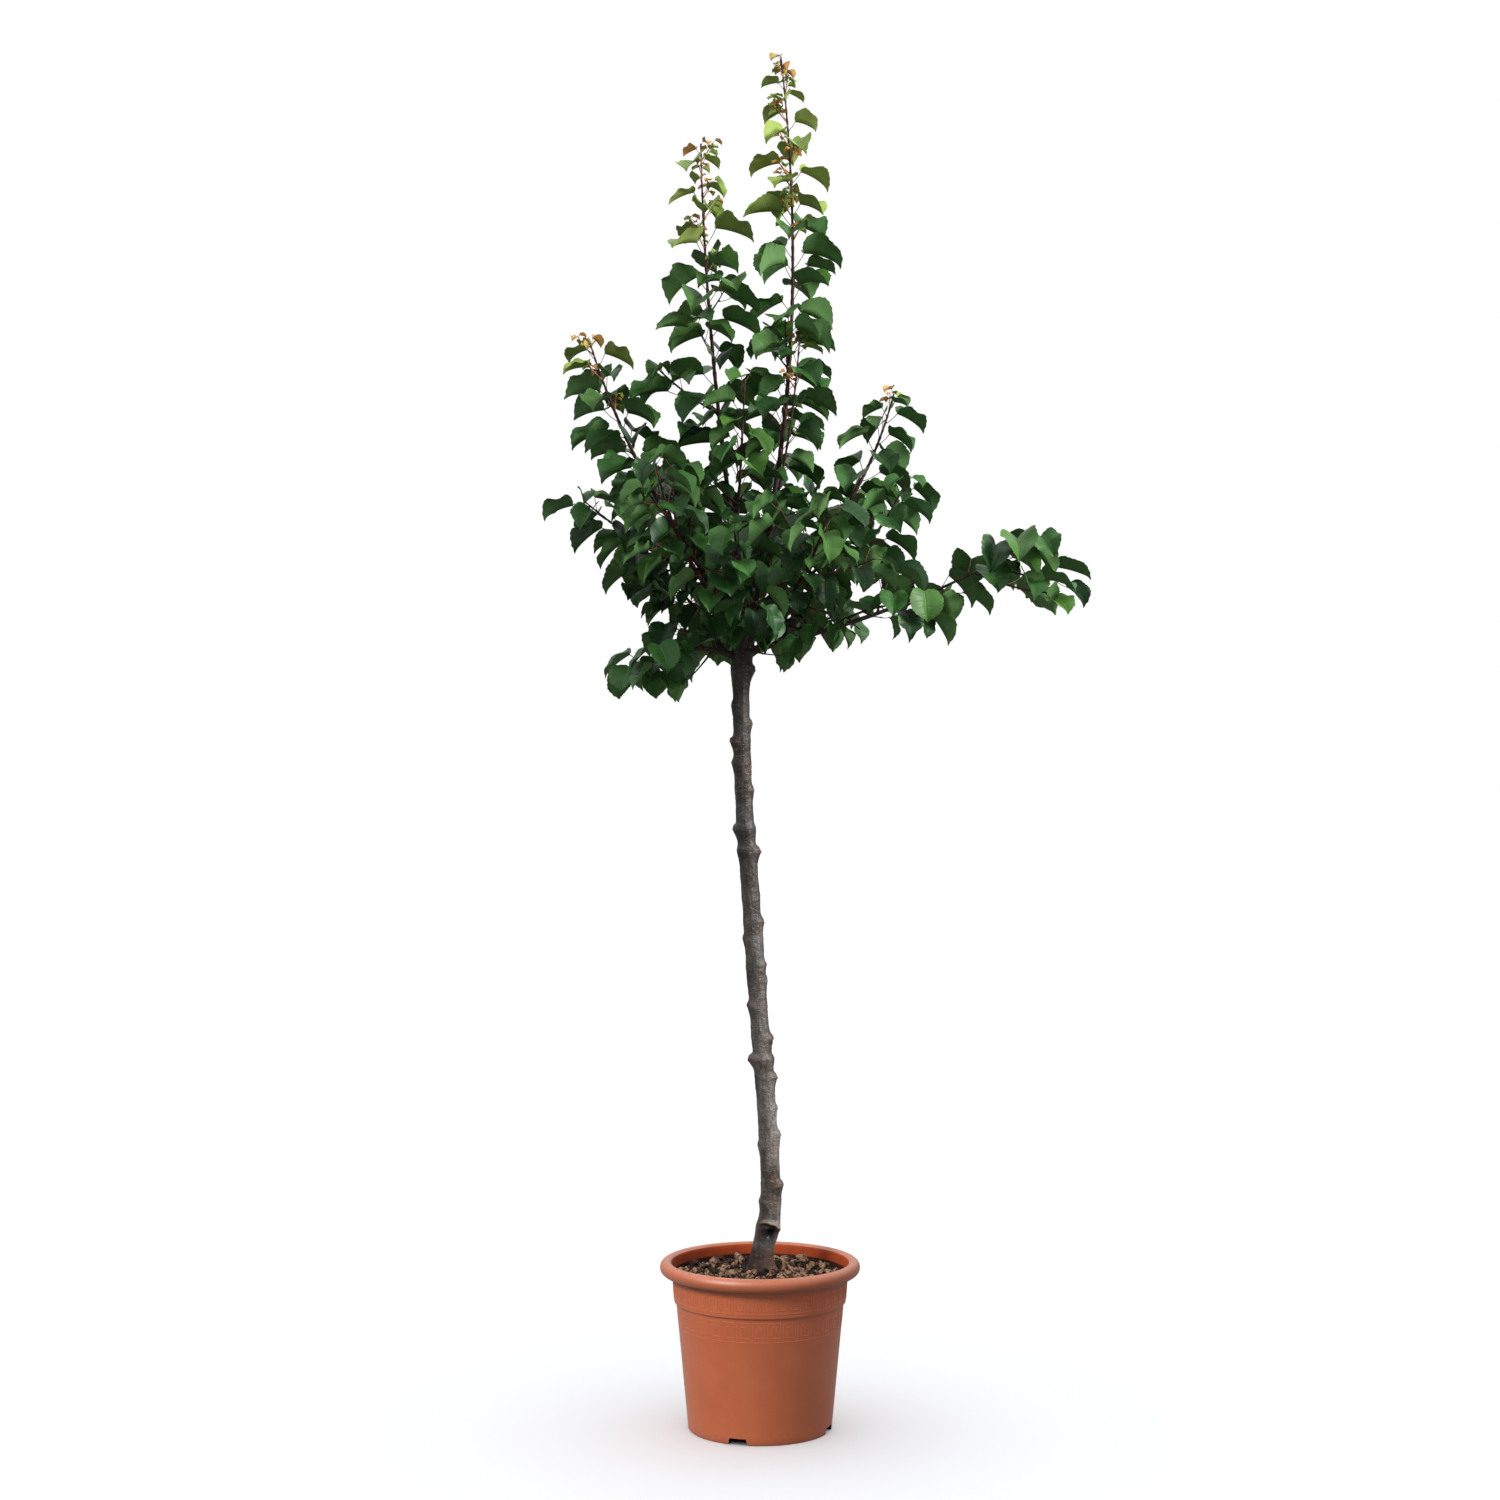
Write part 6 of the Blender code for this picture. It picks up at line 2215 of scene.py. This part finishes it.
def limb_mesh(curve, span, radii, step, sides, joints, collar):
    """A limb along a span of a curve. Joints are the shares of the curve where leaves sit."""
    low, high = span
    length = curve_length(curve, low, high)
    count = max(FEWEST_RINGS, round(length / step))
    shares = np.linspace(low, high, count)
    path = np.array([bend(curve, t) for t in shares])
    along = (shares - low) / (high - low) * length
    thick = np.linspace(radii[0], radii[1], count)
    if collar:
        thick = thick * (1 + COLLAR_SWELL * np.exp(-along / COLLAR_REACH))
    for joint in joints:
        place = (joint - low) / (high - low) * length
        thick = thick + JOINT_SWELL * np.exp(-(((along - place) / JOINT_HALF) ** 2))
    rough = np.empty((count, sides))
    shift = sum(path[0].tolist()) * UNEVEN_APART
    for i in range(count):
        for j in range(sides):
            angle = 2 * math.pi * j / sides
            x, y = math.cos(angle) * UNEVEN_ROUND, math.sin(angle) * UNEVEN_ROUND
            rough[i, j] = 1 + UNEVEN * noise.noise((x, y, along[i] * UNEVEN_ALONG + shift))
    return sweep(path, thick[:, None] * rough, sides)


# %% Bough bark and young bark
TWIG_GLOSS = 0.25

bough_bark, tree, shader = new_material("bough_bark", 0.62, gloss=TWIG_GLOSS)
base = place_group(
    tree, blotches, First=srgb(64, 54, 48), Second=srgb(38, 32, 30), Scale=60, Amount=0.8
)
pores = place_group(tree, spots, Scale=420, Size=0.34, Cover=0.25)
pored = mixed(tree, pores["Mask"], base["Colour"], srgb(118, 94, 78))
tree.links.new(pored, shader.inputs["Base Color"])
rough = place_group(tree, grain, Scale=650, Coarse=1.2)
raise_bump(tree, shader, maths(tree, "ADD", rough["Height"], pores["Mask"]), 0.0004)

young_bark, tree, shader = new_material("young_bark", 0.55, gloss=TWIG_GLOSS)
base = place_group(
    tree, blotches, First=srgb(80, 42, 40), Second=srgb(42, 29, 31), Scale=40, Amount=0.9
)
pores = place_group(tree, spots, Scale=700, Size=0.30, Cover=0.22)
pored = mixed(tree, pores["Mask"], base["Colour"], srgb(104, 78, 66))
tree.links.new(pored, shader.inputs["Base Color"])
raise_bump(tree, shader, pores["Mask"], 0.0002)


# %% Skins of the leaf stalks
def stalk_material(name, first, second):
    """The thin skin of a stalk, in two tones."""
    made, tree, shader = new_material(name, 0.45)
    tone = place_group(tree, blotches, First=first, Second=second, Scale=30, Amount=0.7)
    tree.links.new(tone["Colour"], shader.inputs["Base Color"])
    return made


stalk_skin = stalk_material("stalk_skin", srgb(112, 50, 42), srgb(92, 84, 44))
young_skin = stalk_material("young_stalk_skin", srgb(188, 122, 78), srgb(152, 124, 66))

# %% Boughs and stems
SLENDER = {"right_long": 0.50}
BOUGH_SIDES = 16
STEM_SIDES = 10
TWIG_SIDES = 7
STEM_END_RADIUS = 0.0012

joints = {name: [] for name in MASSES}
for leaf in leaves:
    if leaf["kind"] == "stem":
        low = twigs[leaf["shoot"]][0]["span"][0]
        joints[leaf["shoot"]].append(low + (1 - low) * leaf["share"])

bough_chunks, stem_chunks, young_spurs = [], [], []
for shoot in SHOOTS:
    name = shoot["name"]
    slender = SLENDER.get(name, 1)
    radii = (shoot["radius"] * (1 + slender) / 2, shoot["radius"] * BOUGH_TAPER * slender)
    bare = (0, shoot["bare"])
    bough_chunks.append(limb_mesh(curves[name], bare, radii, BOUGH_STEP, BOUGH_SIDES, [], True))
    for twig in twigs[name]:
        path = (twig["curve"], twig["span"])
        if twig["kind"] == "stem":
            radii = (twig["radii"][0] * slender, STEM_END_RADIUS)
            stem_chunks.append(limb_mesh(*path, radii, STEM_STEP, STEM_SIDES, joints[name], False))
        else:
            kept = young_spurs if twig["kind"] == "young" else stem_chunks
            kept.append(limb_mesh(*path, twig["radii"], STEM_STEP, TWIG_SIDES, [], True))
settle(joined("boughs", bough_chunks, [bough_bark]), "bough_bark", *BOUGHS)
settle(joined("stems", stem_chunks, [young_bark]), "foliage", *MASSES)

# %% Leaf stalks and buds
STALK_RADII = (0.0011, 0.0008, 0.00075, 0.0009)
STALK_SAG = 0.06
STALK_SIDES = 5
LEAST_SIZE = 0.35
BUD_LENGTH = 0.0042
BUD_RADII = (0.0010, 0.0015, 0.0012, 0.0002)
BUD_LEAN = 0.7
BUD_OFF_STEM = 0.0028

stalks, young_stalks, buds = [], [], []
for leaf in leaves:
    size = max(leaf["size"], LEAST_SIZE)
    foot = leaf["root"] + leaf["petiole"] * leaf["petiole_length"]
    path = []
    for i in range(4):
        share = i / 3
        sag = STALK_SAG * leaf["petiole_length"] * 4 * share * (1 - share)
        path.append(tuple(leaf["root"].lerp(foot, share) - UP * sag))
    stalk = sweep(path, [radius * size**0.5 for radius in STALK_RADII], STALK_SIDES)
    if leaf["kind"] == "young":
        young_stalks.append(stalk)
        continue
    stalks.append(stalk)
    lean = (leaf["along"] + leaf["petiole"] * BUD_LEAN).normalized()
    start = leaf["root"] + leaf["petiole"] * BUD_OFF_STEM
    path = [tuple(start + lean * BUD_LENGTH * size * i / 3) for i in range(4)]
    buds.append(sweep(path, [radius * size for radius in BUD_RADII], STALK_SIDES))
settle(joined("leaf_stalks", stalks, [stalk_skin]), "foliage", *MASSES)
settle(joined("young_stalks", young_stalks + young_spurs, [young_skin]), "foliage", *MASSES)
settle(joined("buds", buds, [bough_bark]), "foliage", *MASSES)
